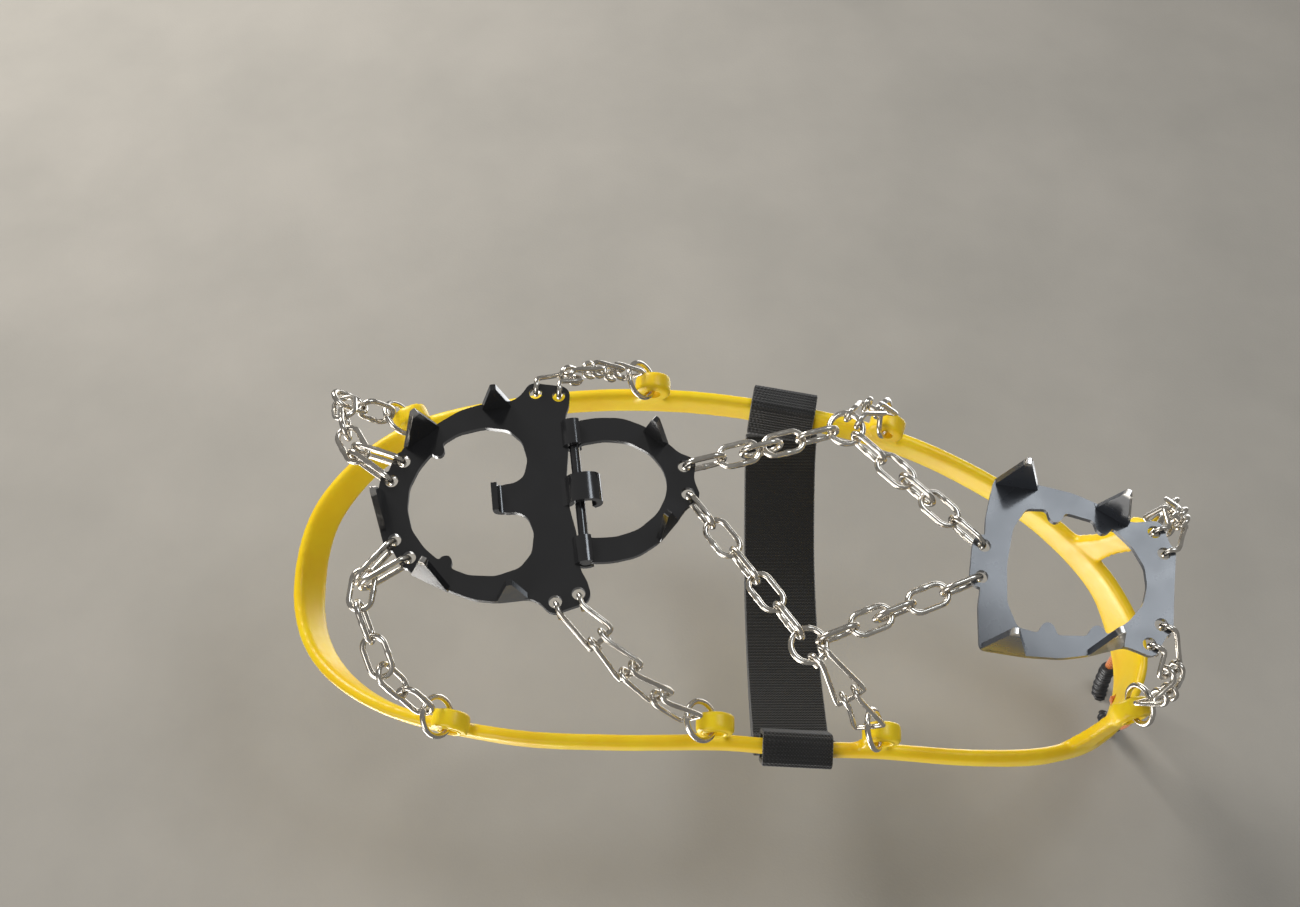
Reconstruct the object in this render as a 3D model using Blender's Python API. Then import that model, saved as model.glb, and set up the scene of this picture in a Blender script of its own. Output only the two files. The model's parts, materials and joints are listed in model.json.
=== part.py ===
"""Shoe ice cleat, left foot, in the shape it has on a shoe.

Three studded steel plates lie under the sole.  Welded oval chain joins them to each
other, and six ladder chains and two corner chains run up round the sole edge to eight
lugs on a one-piece elastomer harness.  An instep strap crosses the harness.

Frame: +Z up, +Y towards the heel, +X towards the outer (lateral) side of the foot.
The stud tips stand on Z = 0.  Lengths below are millimetres, turned to metres by MM.
"""
import math

import bmesh
import bpy
from mathutils import Matrix, Vector

MM = 0.001

# ---- driving dimensions ------------------------------------------------------------
STUD_TALL = 18.0           # large studs, plate underside to tip
STUD_SHORT = 13.0          # small studs
STUD_TIP = 1.6             # blunt end of a stud
BASE_TALL = 13.6           # width at the plate
BASE_SHORT = 9.6
SHEET = 2.0                # steel sheet of the plates
STRIP = 1.8                # sheet after bending, at studs, tongues and the arch plate
PLATE_Z = STUD_TALL + SHEET / 2     # middle plane of the plates
HOLE_R = 2.0               # chain holes
LOBE_R = 3.5               # steel round a chain hole
BAR_OFFSET = (HOLE_R + LOBE_R) / 2  # hole centre to the middle of the steel outside it

LINK_LENGTH = 14.4         # oval link, outside
LINK_WIDTH = 8.6
LINK_WIRE = 1.8
LINK_STEP = LINK_LENGTH - 2 * LINK_WIRE + 0.2       # links of one group, wire in wire
LINK_HALF = (LINK_LENGTH - LINK_WIRE) / 2           # link middle to its end wire
HOLE_BITE = 2.55           # steel outside a hole to the end wire of the link in the hole
WIRE_BITE = 2.15           # ring wire to the end wire of the link that holds it
FOLD_BITE = 1.7            # the hole links reach past their meeting point by this
FOLD_START = 3.5           # and the link that joins them starts this far before it
LADDER_WIRE = 1.6
HOOK_R = 2.3               # ladder hook, to the wire centre
PLATE_HOOK_R = 2.45        # hooks that go round a plate edge
HOOK_HALF = 2.0            # half the distance between the hooks of a ladder unit
RUNG_HALF = 4.4            # half the rung of a ladder unit
HOLE_PITCH = 7.3           # ladder holes in the plates
RING_R = 6.0               # lug rings, to the wire centre
RING_WIRE = 1.8
MASTER_R = 5.2             # ring where the arch chains and a ladder chain meet

BAND_THICK = 4.4
LUG_R = 6.0
LUG_THICK = 6.0
LUG_HOLE_R = 2.7
NECK_THICK = 3.6           # neck between the band and a lug
CUTTER = 30.0              # length of the tools that bore holes

# Pull loop: a cord through two holes of the heel tab, with a tube as its grip.
PULL_HOLES = {1: Vector((-12.0, 164.0, 104.0)), -1: Vector((-32.0, 164.0, 104.0))}
PULL_HOLE_R = 2.2
PULL_CORD_R = 1.5
TUBE_WALL = 1.4

STRAP_WIDTH = 25.0
STRAP_THICK = 2.0
STRAP_Y = 46.0
STRAP_TOP = 104.0          # strap over the instep
LOOP_TALL = 16.5           # webbing loop round the band
LOOP_WALL = 1.6
RING_SLOT = 7.5            # buckle ring, inside
RING_RISE = 4.2            # extra height of the loop that holds the buckle ring
BUCKLE_WIRE = 2.6
SLIP = 0.35                # clearance of a wire in its loop

# The design is drawn about the middle of the foot; this moves it onto its own centre.
CENTRE = Vector((-1.66, -25.17, 0.0))
UP = Vector((0.0, 0.0, 1.0))
MIDFOOT = Vector((-4.0, 20.0, 0.0))

# ---- plate frames: origin on the foot, and turn about Z ----------------------------
FRONT_AT = Vector((9.6, -26.0, PLATE_Z))
FRONT_YAW = math.radians(-6.5)
HEEL_AT = Vector((-12.8, 100.8, PLATE_Z))
HEEL_YAW = math.radians(9.5)
HINGE_U = 4.3              # hinge line behind the front plate's origin
BAR_R = 1.55
ROLL_INNER = 1.95
ROLL_OUTER = 3.6

# ---- lugs of the harness: centre, inner side then outer side -----------------------
LUGS = {
    "toe_inner": Vector((-53.0, -61.5, 52.0)),
    "ball_inner": Vector((-54.0, 20.0, 51.0)),
    "arch_inner": Vector((-57.0, 71.0, 51.0)),
    "heel_inner": Vector((-50.0, 148.0, 50.0)),
    "toe_outer": Vector((51.0, -80.0, 54.0)),
    "ball_outer": Vector((62.0, 1.0, 51.0)),
    "arch_outer": Vector((47.0, 79.0, 51.0)),
    "heel_outer": Vector((8.0, 159.0, 50.0)),
}
# Band of the harness: place, upward tilt of its outer face, and width.
BAND = [
    ((2.0, -116.0, 84.0), 0.75, 13.0),
    ((-24.0, -108.0, 80.0), 0.60, 12.0),
    ((-44.0, -84.0, 70.0), 0.25, 11.0),
    ((-54.0, -46.0, 66.0), 0.10, 11.0),
    ((-56.0, -12.0, 66.0), 0.10, 11.0),
    ((-56.0, 22.0, 66.0), 0.10, 11.0),
    ((-58.0, 46.0, 66.0), 0.10, 11.0),
    ((-58.5, 72.0, 67.0), 0.10, 11.0),
    ((-60.0, 104.0, 70.0), 0.08, 12.0),
    ((-57.0, 130.0, 77.0), 0.05, 14.0),
    ((-46.0, 152.0, 89.0), 0.05, 18.0),
    ((-22.0, 165.0, 99.0), 0.05, 30.0),
    ((2.0, 157.0, 89.0), 0.05, 18.0),
    ((22.0, 136.0, 78.0), 0.05, 14.0),
    ((38.0, 109.0, 71.0), 0.08, 12.0),
    ((50.0, 80.0, 67.0), 0.10, 11.0),
    ((59.0, 44.0, 66.0), 0.10, 11.0),
    ((64.0, 4.0, 66.0), 0.10, 11.0),
    ((62.0, -38.0, 66.0), 0.10, 11.0),
    ((52.0, -82.0, 69.0), 0.25, 11.0),
    ((30.0, -109.0, 78.0), 0.60, 12.0),
]

COLOURS = {
    "elastomer": ((0.95, 0.62, 0.02), 0.45, 0.0),
    "black_paint": ((0.015, 0.015, 0.016), 0.22, 0.3),
    "satin_paint": ((0.05, 0.055, 0.065), 0.3, 0.4),
    "zinc": ((0.62, 0.60, 0.56), 0.28, 1.0),
    "webbing": ((0.012, 0.012, 0.012), 0.8, 0.0),
    "cord": ((0.85, 0.25, 0.02), 0.7, 0.0),
    "tube": ((0.02, 0.02, 0.02), 0.6, 0.0),
    "label": ((0.85, 0.75, 0.05), 0.6, 0.0),
}


# ---- scene and helpers -------------------------------------------------------------
def new_collection(name):
    collection = bpy.data.collections.new(name)
    bpy.context.scene.collection.children.link(collection)
    return collection


for old in list(bpy.data.objects):
    bpy.data.objects.remove(old, do_unlink=True)
PARTS = new_collection("shoe_ice_cleat")
ROOT = bpy.data.objects.new("cleat", None)
PARTS.objects.link(ROOT)
ROOT.location = CENTRE * MM


def material(name):
    found = bpy.data.materials.get(name)
    if found:
        return found
    made = bpy.data.materials.new(name)
    made.use_nodes = True
    colour, roughness, metallic = COLOURS[name]
    shader = made.node_tree.nodes["Principled BSDF"]
    shader.inputs["Base Color"].default_value = (*colour, 1.0)
    shader.inputs["Roughness"].default_value = roughness
    shader.inputs["Metallic"].default_value = metallic
    return made


def settle(piece, name, look, smooth=True):
    """Name a finished piece, give it its material and hang it from the root."""
    piece.name = name
    piece.data.name = name
    piece.data.materials.clear()
    piece.data.materials.append(material(look))
    piece.parent = ROOT
    if piece.name not in PARTS.objects:
        for other in list(piece.users_collection):
            other.objects.unlink(piece)
        PARTS.objects.link(piece)
    if smooth:
        piece.data.shade_smooth()
        piece.data.set_sharp_from_angle(angle=math.radians(40))
    return piece


def hang(piece, place, axis):
    """Put a moving piece's origin on its joint, with its local Z along the joint's axis."""
    spot = scaled(Matrix.Translation(place) @ axis.to_track_quat("Z", "Y").to_matrix().to_4x4())
    piece.data.transform(spot.inverted())
    piece.matrix_local = spot
    return piece


def from_curve(data, matrix=None):
    """Turn curve data into a welded mesh object."""
    curve = bpy.data.objects.new("curve", data)
    PARTS.objects.link(curve)
    bpy.context.view_layer.update()
    graph = bpy.context.evaluated_depsgraph_get()
    mesh = bpy.data.meshes.new_from_object(curve.evaluated_get(graph))
    bpy.data.objects.remove(curve, do_unlink=True)
    weld = bmesh.new()
    weld.from_mesh(mesh)
    bmesh.ops.remove_doubles(weld, verts=weld.verts, dist=0.00001)
    bmesh.ops.recalc_face_normals(weld, faces=weld.faces)
    weld.to_mesh(mesh)
    weld.free()
    piece = bpy.data.objects.new("piece", mesh)
    PARTS.objects.link(piece)
    if matrix is not None:
        mesh.transform(matrix)
    return piece


def wire(points, radius, closed=False, resolution=0):
    """A round wire through the points (millimetres)."""
    data = bpy.data.curves.new("wire", "CURVE")
    data.dimensions = "3D"
    data.bevel_depth = radius * MM
    data.bevel_resolution = resolution
    data.use_fill_caps = not closed
    spline = data.splines.new("POLY")
    spline.points.add(len(points) - 1)
    for spot, point in zip(spline.points, points):
        spot.co = (*(point * MM), 1.0)
    spline.use_cyclic_u = closed
    return from_curve(data)


def sheet(outlines, thick, matrix):
    """A flat sheet: the first outline is its edge, the rest are holes in it."""
    data = bpy.data.curves.new("sheet", "CURVE")
    data.dimensions = "2D"
    data.fill_mode = "BOTH"
    data.extrude = thick / 2 * MM
    for outline in outlines:
        spline = data.splines.new("POLY")
        spline.points.add(len(outline) - 1)
        for spot, (x, y) in zip(spline.points, outline):
            spot.co = (x * MM, y * MM, 0.0, 1.0)
        spline.use_cyclic_u = True
    return from_curve(data, scaled(matrix))


def scaled(matrix):
    """A millimetre placement as a metre placement."""
    turned = matrix.copy()
    turned.translation = matrix.translation * MM
    return turned


def boolean(piece, other, operation):
    """Union or difference of two mesh objects, applied; the other one is used up."""
    step = piece.modifiers.new("step", "BOOLEAN")
    step.operation = operation
    step.solver = "EXACT"
    step.object = other
    bpy.context.view_layer.update()
    graph = bpy.context.evaluated_depsgraph_get()
    mesh = bpy.data.meshes.new_from_object(piece.evaluated_get(graph))
    piece.modifiers.clear()
    piece.data = mesh
    bpy.data.objects.remove(other, do_unlink=True)
    return piece


def rod(centre, axis, radius, length, sides):
    bpy.ops.mesh.primitive_cylinder_add(vertices=sides, radius=radius * MM, depth=length * MM)
    piece = bpy.context.active_object
    turn = axis.to_track_quat("Z", "Y").to_matrix().to_4x4()
    piece.data.transform(scaled(Matrix.Translation(centre) @ turn))
    return piece


def torus(matrix, radius, wire_size, segments):
    bpy.ops.mesh.primitive_torus_add(major_segments=segments, minor_segments=6, major_radius=radius * MM,
                                     minor_radius=wire_size / 2 * MM)
    piece = bpy.context.active_object
    piece.data.transform(scaled(matrix))
    return piece


def placement(origin, x_axis, y_axis, z_axis):
    turn = Matrix((x_axis, y_axis, z_axis)).transposed().to_4x4()
    return Matrix.Translation(origin) @ turn


def arc(centre, radius, start, end, steps):
    """Points on a circle, angles in degrees."""
    points = []
    for k in range(steps + 1):
        angle = math.radians(start + (end - start) * k / steps)
        points.append((centre[0] + radius * math.cos(angle), centre[1] + radius * math.sin(angle)))
    return points


def smooth_path(controls, samples=24, closed=False):
    """Catmull-Rom curve through the control points."""
    count = len(controls)
    spans = count if closed else count - 1

    def control(k):
        return controls[k % count] if closed else controls[max(0, min(count - 1, k))]

    points = []
    for k in range(spans):
        a, b, c, d = (control(k + j) for j in (-1, 0, 1, 2))
        for j in range(samples):
            t = j / samples
            points.append(0.5 * (2 * b + (c - a) * t + (2 * a - 5 * b + 4 * c - d) * t * t
                                 + (3 * b - a - 3 * c + d) * t * t * t))
    if not closed:
        points.append(controls[-1])
    return points


def even_points(path, count):
    """Split a path into equal lengths."""
    lengths = [0.0]
    for a, b in zip(path, path[1:]):
        lengths.append(lengths[-1] + (b - a).length)
    found = []
    k = 0
    for j in range(count + 1):
        want = lengths[-1] * j / count
        while k < len(path) - 2 and lengths[k + 1] < want:
            k += 1
        span = lengths[k + 1] - lengths[k]
        found.append(path[k].lerp(path[k + 1], (want - lengths[k]) / span))
    return found


# ---- plates ------------------------------------------------------------------------
def frame_of(at, yaw):
    """Plate frame: u runs towards the heel, v towards the outer side."""
    u = Vector((-math.sin(yaw), math.cos(yaw), 0.0))
    v = Vector((math.cos(yaw), math.sin(yaw), 0.0))
    return at, u, v


FRONT = frame_of(FRONT_AT, FRONT_YAW)
HEEL = frame_of(HEEL_AT, HEEL_YAW)


def on_plate(frame, u, v):
    at, u_axis, v_axis = frame
    return at + u_axis * u + v_axis * v


def plate_matrix(frame):
    at, u_axis, v_axis = frame
    return placement(at, v_axis, u_axis, UP)


def mirrored(half):
    """Close a half outline, given as (u, v) with v >= 0, into a full one as (v, u)."""
    right = [(v, u) for u, v in half]
    left = [(-v, u) for u, v in reversed(half) if v > 0.01]
    return right + left


def circle(u, v, radius, sides=10):
    return [(b, a) for a, b in arc((u, v), radius, 0, 360 * (sides - 1) / sides, sides - 1)]


def stud(plate, frame, u, v, heading, base, height):
    """Triangular stud bent down from the plate edge; heading is the edge direction in
    degrees, 0 along u."""
    at, u_axis, v_axis = frame
    along = u_axis * math.cos(math.radians(heading)) + v_axis * math.sin(math.radians(heading))
    down = -UP
    outline = [(-base / 2, 0.0), (base / 2, 0.0), (STUD_TIP / 2, height + SHEET / 2),
               (-STUD_TIP / 2, height + SHEET / 2)]
    spot = placement(on_plate(frame, u, v), along, down, along.cross(down))
    return boolean(plate, sheet([outline], STRIP, spot), "UNION")


def lobe(hole, start, end, steps):
    return arc(hole, LOBE_R, start, end, steps)


FRONT_INNER_HOLE = (-52.3, 9.7)
FRONT_OUTER_HOLE = (-48.2, 15.8)
EAR_FRONT_HOLE = (-6.0, 34.6)
EAR_REAR_HOLE = (1.1, 32.8)
ARCH_HOLE = (37.3, 4.6)
HEEL_FRONT_HOLE = (-1.2, 5.0)
HEEL_OUTER_HOLE = (49.0, 17.8)
HEEL_REAR_HOLE = (52.2, 11.3)


def holes(*places):
    return [circle(u, v * side, HOLE_R) for u, v in places for side in (1, -1)]


def rolled_strip(profile, thick, v_middle, width, frame):
    """A sheet strip bent to a side profile of (u, z) points."""
    left, right = [], []
    for k, point in enumerate(profile):
        before = profile[max(0, k - 1)]
        after = profile[min(len(profile) - 1, k + 1)]
        du, dz = after[0] - before[0], after[1] - before[1]
        size = math.hypot(du, dz)
        left.append((point[0] - dz / size * thick / 2, point[1] + du / size * thick / 2))
        right.append((point[0] + dz / size * thick / 2, point[1] - du / size * thick / 2))
    at, u_axis, v_axis = frame
    spot = placement(on_plate(frame, 0.0, v_middle), u_axis, UP, u_axis.cross(UP))
    return sheet([left + right[::-1]], width, spot)


def make_front_plate():
    edge = ([(-56.5, 0.0), (-56.5, 7.0)] + lobe(FRONT_INNER_HOLE, 160, 100, 3)
            + lobe(FRONT_OUTER_HOLE, 170, 100, 3)
            + [(-48.0, 20.6), (-37.0, 27.6), (-30.0, 31.2), (-23.5, 32.6), (-13.5, 32.6), (-10.6, 34.4)]
            + lobe(EAR_FRONT_HOLE, 140, 60, 4) + lobe(EAR_REAR_HOLE, 70, -10, 4)
            + [(4.0, 29.0), (2.4, 25.5), (2.4, 14.0), (1.6, 9.0), (1.0, 5.0), (1.0, 0.0)])
    window = [(-48.0, 0.0), (-47.0, 7.0), (-43.6, 13.2), (-39.6, 17.6), (-38.4, 16.4),
              (-36.4, 16.4), (-35.4, 18.2), (-36.2, 20.6), (-31.0, 23.4), (-23.0, 24.6), (-15.5, 22.8),
              (-11.6, 18.5), (-10.4, 12.0), (-12.0, 6.6), (-15.0, 4.8), (-19.5, 4.6), (-19.5, 0.0)]
    plate = sheet([mirrored(edge), mirrored(window)]
                  + holes(FRONT_INNER_HOLE, FRONT_OUTER_HOLE, EAR_FRONT_HOLE, EAR_REAR_HOLE),
                  SHEET, plate_matrix(FRONT))
    stud(plate, FRONT, -55.6, 0.0, 90, BASE_TALL, STUD_TALL)
    for side in (1, -1):
        stud(plate, FRONT, -42.3, 23.7 * side, 32.5 * side, BASE_TALL - 0.8, STUD_TALL)
        stud(plate, FRONT, -18.5, 31.7 * side, 0, BASE_SHORT, STUD_SHORT)
        roll = arc((HINGE_U, 0.0), (ROLL_INNER + ROLL_OUTER) / 2, 50, 310, 14)
        boolean(plate, rolled_strip(roll, ROLL_OUTER - ROLL_INNER, 19.4 * side, 8.4, FRONT), "UNION")
    lip = [(-18.6, 0.0), (-20.2, -0.5), (-21.0, -1.8), (-21.2, -4.0)]
    boolean(plate, rolled_strip(lip, STRIP, 0.0, 9.0, FRONT), "UNION")
    hook = [(-1.0, 0.0), (1.0, -0.9), (2.2, -2.8), (4.0, -4.0), (7.0, -4.2), (9.4, -3.2), (10.4, -1.0),
            (9.9, 1.2), (8.4, 2.2)]
    boolean(plate, rolled_strip(hook, STRIP, 0.0, 9.0, FRONT), "UNION")
    settle(plate, "front_plate", "black_paint", smooth=False)


def make_arch_plate():
    edge = ([(HINGE_U + 0.2, 0.0), (HINGE_U + 0.2, 23.4), (12.0, 24.0), (20.0, 23.0), (27.0, 19.2),
             (33.4, 12.6), (36.0, 9.4)] + lobe(ARCH_HOLE, 70, 0, 4) + [(39.6, 0.0)])
    window = [(HINGE_U + 1.2, 0.0), (HINGE_U + 1.2, 15.6), (14.0, 16.2), (21.0, 14.6), (27.4, 10.0),
              (30.6, 4.6), (31.4, 0.0)]
    plate = sheet([mirrored(edge), mirrored(window)] + holes(ARCH_HOLE), STRIP, plate_matrix(FRONT))
    for side in (1, -1):
        stud(plate, FRONT, 29.7, 15.4 * side, -45 * side, BASE_SHORT - 0.6, STUD_SHORT)
    bar = rod(on_plate(FRONT, HINGE_U, 0.0), FRONT[2], BAR_R, 46.8, 12)
    boolean(plate, bar, "UNION")
    settle(plate, "arch_plate", "black_paint", smooth=False)
    hang(plate, on_plate(FRONT, HINGE_U, 0.0), FRONT[1].cross(UP))


def make_heel_plate():
    edge = ([(-4.7, 0.0)] + lobe(HEEL_FRONT_HOLE, 180, 90, 4) + [(-1.5, 14.0), (0.0, 27.4), (14.0, 27.4),
            (24.0, 26.4), (31.5, 24.2), (42.0, 19.6)]
            + lobe(HEEL_OUTER_HOLE, 110, 50, 3) + lobe(HEEL_REAR_HOLE, 60, 0, 4) + [(55.6, 0.0)])
    window = [(6.0, 0.0), (7.0, 12.0), (10.5, 19.0), (16.6, 19.8), (17.6, 16.8), (19.4, 15.8), (21.2, 16.8),
              (22.2, 19.6), (30.8, 18.4), (32.0, 15.4), (33.8, 14.4), (35.6, 15.4), (36.6, 17.0),
              (42.6, 12.0), (46.6, 6.0), (47.6, 0.0)]
    plate = sheet([mirrored(edge), mirrored(window)]
                  + holes(HEEL_FRONT_HOLE, HEEL_OUTER_HOLE, HEEL_REAR_HOLE), SHEET, plate_matrix(HEEL))
    for side in (1, -1):
        stud(plate, HEEL, 7.0, 26.5 * side, 0, BASE_TALL, STUD_TALL)
        stud(plate, HEEL, 36.4, 21.2 * side, -24 * side, 11.4, STUD_TALL)
    settle(plate, "heel_plate", "satin_paint", smooth=False)


# ---- chain parts -------------------------------------------------------------------
def oval_points(centre, along, across, length=LINK_LENGTH):
    """Centre line of a welded oval link."""
    end = (LINK_WIDTH - LINK_WIRE) / 2
    straight = (length - LINK_WIRE) / 2 - end
    points = []
    for turn, x in ((-1, straight), (1, -straight)):
        for k in range(6):
            angle = math.radians(90 * turn + 36 * k)
            side = Vector((math.cos(angle), math.sin(angle)))
            points.append(centre + along * (x + end * side.x) + across * end * side.y)
    return points


def link(centre, along, across, length=LINK_LENGTH):
    return wire(oval_points(centre, along, across, length), LINK_WIRE / 2, closed=True)


def square_to(axis, vector):
    return (vector - axis * vector.dot(axis)).normalized()


def ladder_unit(name, start, start_across, end, end_across, outward, hook_half, hook_r):
    """One wire unit: two hooks round the last rung, two legs and a rung of its own."""
    along = square_to(start_across, end - start)
    reach = (end - start).dot(along)
    rise = square_to(start_across, outward - along * outward.dot(along))
    drift = end - start - along * reach

    def side_points(side):
        base = start + start_across * hook_half * side
        shape = [(hook_r * 0.95, -hook_r * 0.82), (0.2 * hook_r, -hook_r), (-0.72 * hook_r, -0.72 * hook_r),
                 (-hook_r, 0.0), (-0.72 * hook_r, 0.72 * hook_r), (0.3 * hook_r, hook_r)]
        points = [base + along * a + rise * b for a, b in shape]
        foot = start + drift + along * (reach - 1.4) + end_across * RUNG_HALF * side + rise * 0.25
        points.append(points[-1].lerp(foot, 0.5))
        points.append(foot)
        points.append(end + end_across * (RUNG_HALF - 1.1) * side)
        return points

    points = side_points(-1) + side_points(1)[::-1]
    hang(settle(wire(points, LADDER_WIRE / 2), name, "zinc"), start, start_across)


def make_ladder(name, start, start_across, controls, end, end_across, count, outward, first_hooks):
    """A ladder chain from one rung to another, over the control points."""
    ends = even_points(smooth_path([start] + controls + [end]), count)
    across = []
    for k in range(count + 1):
        mixed = start_across.lerp(end_across, k / count)
        if 0 < k < count:
            mixed = square_to((ends[k + 1] - ends[k - 1]).normalized(), mixed)
        across.append(mixed.normalized())
    for k in range(count):
        half, radius = first_hooks if k == 0 else (HOOK_HALF, HOOK_R)
        ladder_unit(f"{name}_unit_{k + 1}", ends[k], across[k], ends[k + 1], across[k + 1], outward,
                    half, radius)


def union_chain(pieces, name):
    first = pieces[0]
    for other in pieces[1:]:
        boolean(first, other, "UNION")
    return settle(first, name, "zinc")


def make_strand(begin, end, groups, hinge=None):
    """Oval links in a straight run, turned a quarter from one to the next, the first one
    upright.  The links of a group hang tight as one body, with slack between the groups.
    Each group turns about its own length, or all of them about the hinge axis at begin."""
    along = (end - begin).normalized()
    flat = UP.cross(along)
    tight = sum((count - 1) * LINK_STEP for _, count in groups)
    place = LINK_HALF - HOLE_BITE
    gap = ((end - begin).length - place - (LINK_HALF - WIRE_BITE) - tight) / (len(groups) - 1)
    index = 0
    for name, count in groups:
        middle = begin + along * (place + (count - 1) * LINK_STEP / 2)
        pieces = []
        for k in range(count):
            across = flat if index % 2 else along.cross(flat)
            pieces.append(link(begin + along * (place + k * LINK_STEP), along, across))
            index += 1
        group = union_chain(pieces, name)
        if hinge:
            hang(group, begin, hinge)
        else:
            hang(group, middle, along)
        place += (count - 1) * LINK_STEP + gap


def lug_frame(name):
    """Centre, outward normal and direction along the band of a lug."""
    centre = LUGS[name]
    nearest = min(range(len(BAND)), key=lambda k: (Vector(BAND[k][0]) - centre).length)
    before = Vector(BAND[nearest - 1][0])
    after = Vector(BAND[(nearest + 1) % len(BAND)][0])
    along = after - before
    along.z = 0.0
    along.normalize()
    outward = along.cross(UP)
    if outward.dot(centre - MIDFOOT) < 0:
        outward.negate()
    return centre, outward, along


def make_harness():
    places = smooth_path([Vector(p) for p, _, _ in BAND], 4, closed=True)
    shapes = smooth_path([Vector((tilt, width, 0.0)) for _, tilt, width in BAND], 4, closed=True)
    build = bmesh.new()
    rings = []
    count = len(places)
    for k, place in enumerate(places):
        tangent = (places[(k + 1) % count] - places[k - 1]).normalized()
        outward = tangent.cross(UP)
        if outward.dot(place - MIDFOOT) < 0:
            outward.negate()
        tilt, width = shapes[k].x, shapes[k].y
        face = square_to(tangent, outward.normalized() + UP * tilt)
        side = tangent.cross(face).normalized()
        half, thick = width / 2, BAND_THICK / 2
        ring = []
        for a, b in ((half, -0.5), (half, 0.5), (half * 0.8, 1.0), (-half * 0.8, 1.0), (-half, 0.5),
                     (-half, -0.5), (-half * 0.8, -1.0), (half * 0.8, -1.0)):
            ring.append(build.verts.new((place + side * a + face * thick * b) * MM))
        rings.append(ring)
    for k in range(count):
        for j in range(8):
            a, b = rings[k], rings[(k + 1) % count]
            build.faces.new((a[j], a[(j + 1) % 8], b[(j + 1) % 8], b[j]))
    bmesh.ops.recalc_face_normals(build, faces=build.faces)
    mesh = bpy.data.meshes.new("harness")
    build.to_mesh(mesh)
    build.free()
    band = bpy.data.objects.new("harness", mesh)
    PARTS.objects.link(band)
    for name in LUGS:
        centre, outward, along = lug_frame(name)
        near = min(places, key=lambda p: (p - centre).length)
        reach = near - centre
        neck_up = reach.normalized()
        width_dir = square_to(neck_up, along)
        spot = placement(centre + reach * 0.5, width_dir, neck_up, width_dir.cross(neck_up))
        size = reach.length / 2
        outline = [(-4.6, -size), (4.6, -size), (3.6, 0.0), (5.4, size), (-5.4, size), (-3.6, 0.0)]
        boolean(band, sheet([outline], NECK_THICK, spot), "UNION")
        boolean(band, rod(centre, outward, LUG_R, LUG_THICK, 18), "UNION")
    for name in LUGS:
        centre, outward, along = lug_frame(name)
        boolean(band, rod(centre, outward, LUG_HOLE_R, CUTTER, 12), "DIFFERENCE")
    for spot in PULL_HOLES.values():
        boolean(band, rod(spot, Vector((0.0, 1.0, 0.0)), PULL_HOLE_R, CUTTER, 10), "DIFFERENCE")
    settle(band, "harness_band", "elastomer")


def lug_join(name, towards):
    """Where the last rung or link end sits in a lug's ring, and the ring itself."""
    centre, outward, along = lug_frame(name)
    down = square_to(outward, towards - centre)
    ring_centre = centre + down * RING_R
    ring = torus(placement(ring_centre, down, outward, down.cross(outward)), RING_R, RING_WIRE, 14)
    settle(ring, f"{name}_lug_ring", "zinc")
    rung = ring_centre + down * (RING_R - RING_WIRE / 2 - LADDER_WIRE / 2 - SLIP)
    return rung, along, down


def ear_bar(frame, hole_a, hole_b, side):
    """Middle of the steel outside a pair of plate holes, and the direction across them."""
    a = on_plate(frame, hole_a[0], hole_a[1] * side)
    b = on_plate(frame, hole_b[0], hole_b[1] * side)
    across = (b - a).normalized()
    out = across.cross(UP)
    middle = (a + b) / 2
    if out.dot(middle - on_plate(frame, (hole_a[0] + hole_b[0]) / 2, 0.0)) < 0:
        out.negate()
    return middle + out * BAR_OFFSET, across


PLATE_HOOKS = (HOLE_PITCH / 2, PLATE_HOOK_R)


def make_edge_ladder(plate, name, hole_a, hole_b, side, edge, count):
    """A ladder chain from two holes of a plate, over the sole edge, to a lug."""
    start, across = ear_bar(plate, hole_a, hole_b, side)
    rung, along, down = lug_join(name, edge)
    if along.dot(across) < 0:
        along.negate()
    lean = lug_frame(name)[1] - UP * 0.6
    make_ladder(name, start, across, [edge], rung, square_to(down, along), count, lean, PLATE_HOOKS)


def master_ring(name, centre):
    settle(torus(Matrix.Translation(centre), MASTER_R, LINK_WIRE, 16), name, "zinc")


def make_arch_chains(side, word, master, front_groups, rear_groups):
    """The runs from the arch plate and the heel plate to a master ring."""
    master_ring(f"{word}_master_ring", master)
    for frame, hole_at, groups in ((FRONT, ARCH_HOLE, front_groups), (HEEL, HEEL_FRONT_HOLE, rear_groups)):
        hole = on_plate(frame, hole_at[0], hole_at[1] * side)
        way = square_to(UP, master - hole)
        hinge = way.cross(UP) if frame is FRONT else None
        make_strand(hole + way * BAR_OFFSET, master - way * MASTER_R, groups, hinge)


def make_arch_ladder(word, master, edge, count):
    """A ladder chain from a master ring, over the sole edge, to a lug."""
    name = f"arch_{word}"
    rung, along, down = lug_join(name, edge)
    way = square_to(UP, edge - master)
    start = master + way * MASTER_R
    across = UP.cross(way)
    if along.dot(across) < 0:
        along.negate()
    lean = lug_frame(name)[1] - UP * 0.6
    make_ladder(name, start, across, [edge], rung, square_to(down, along), count, lean,
                (HOOK_HALF, HOOK_R + 0.3))


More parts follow.
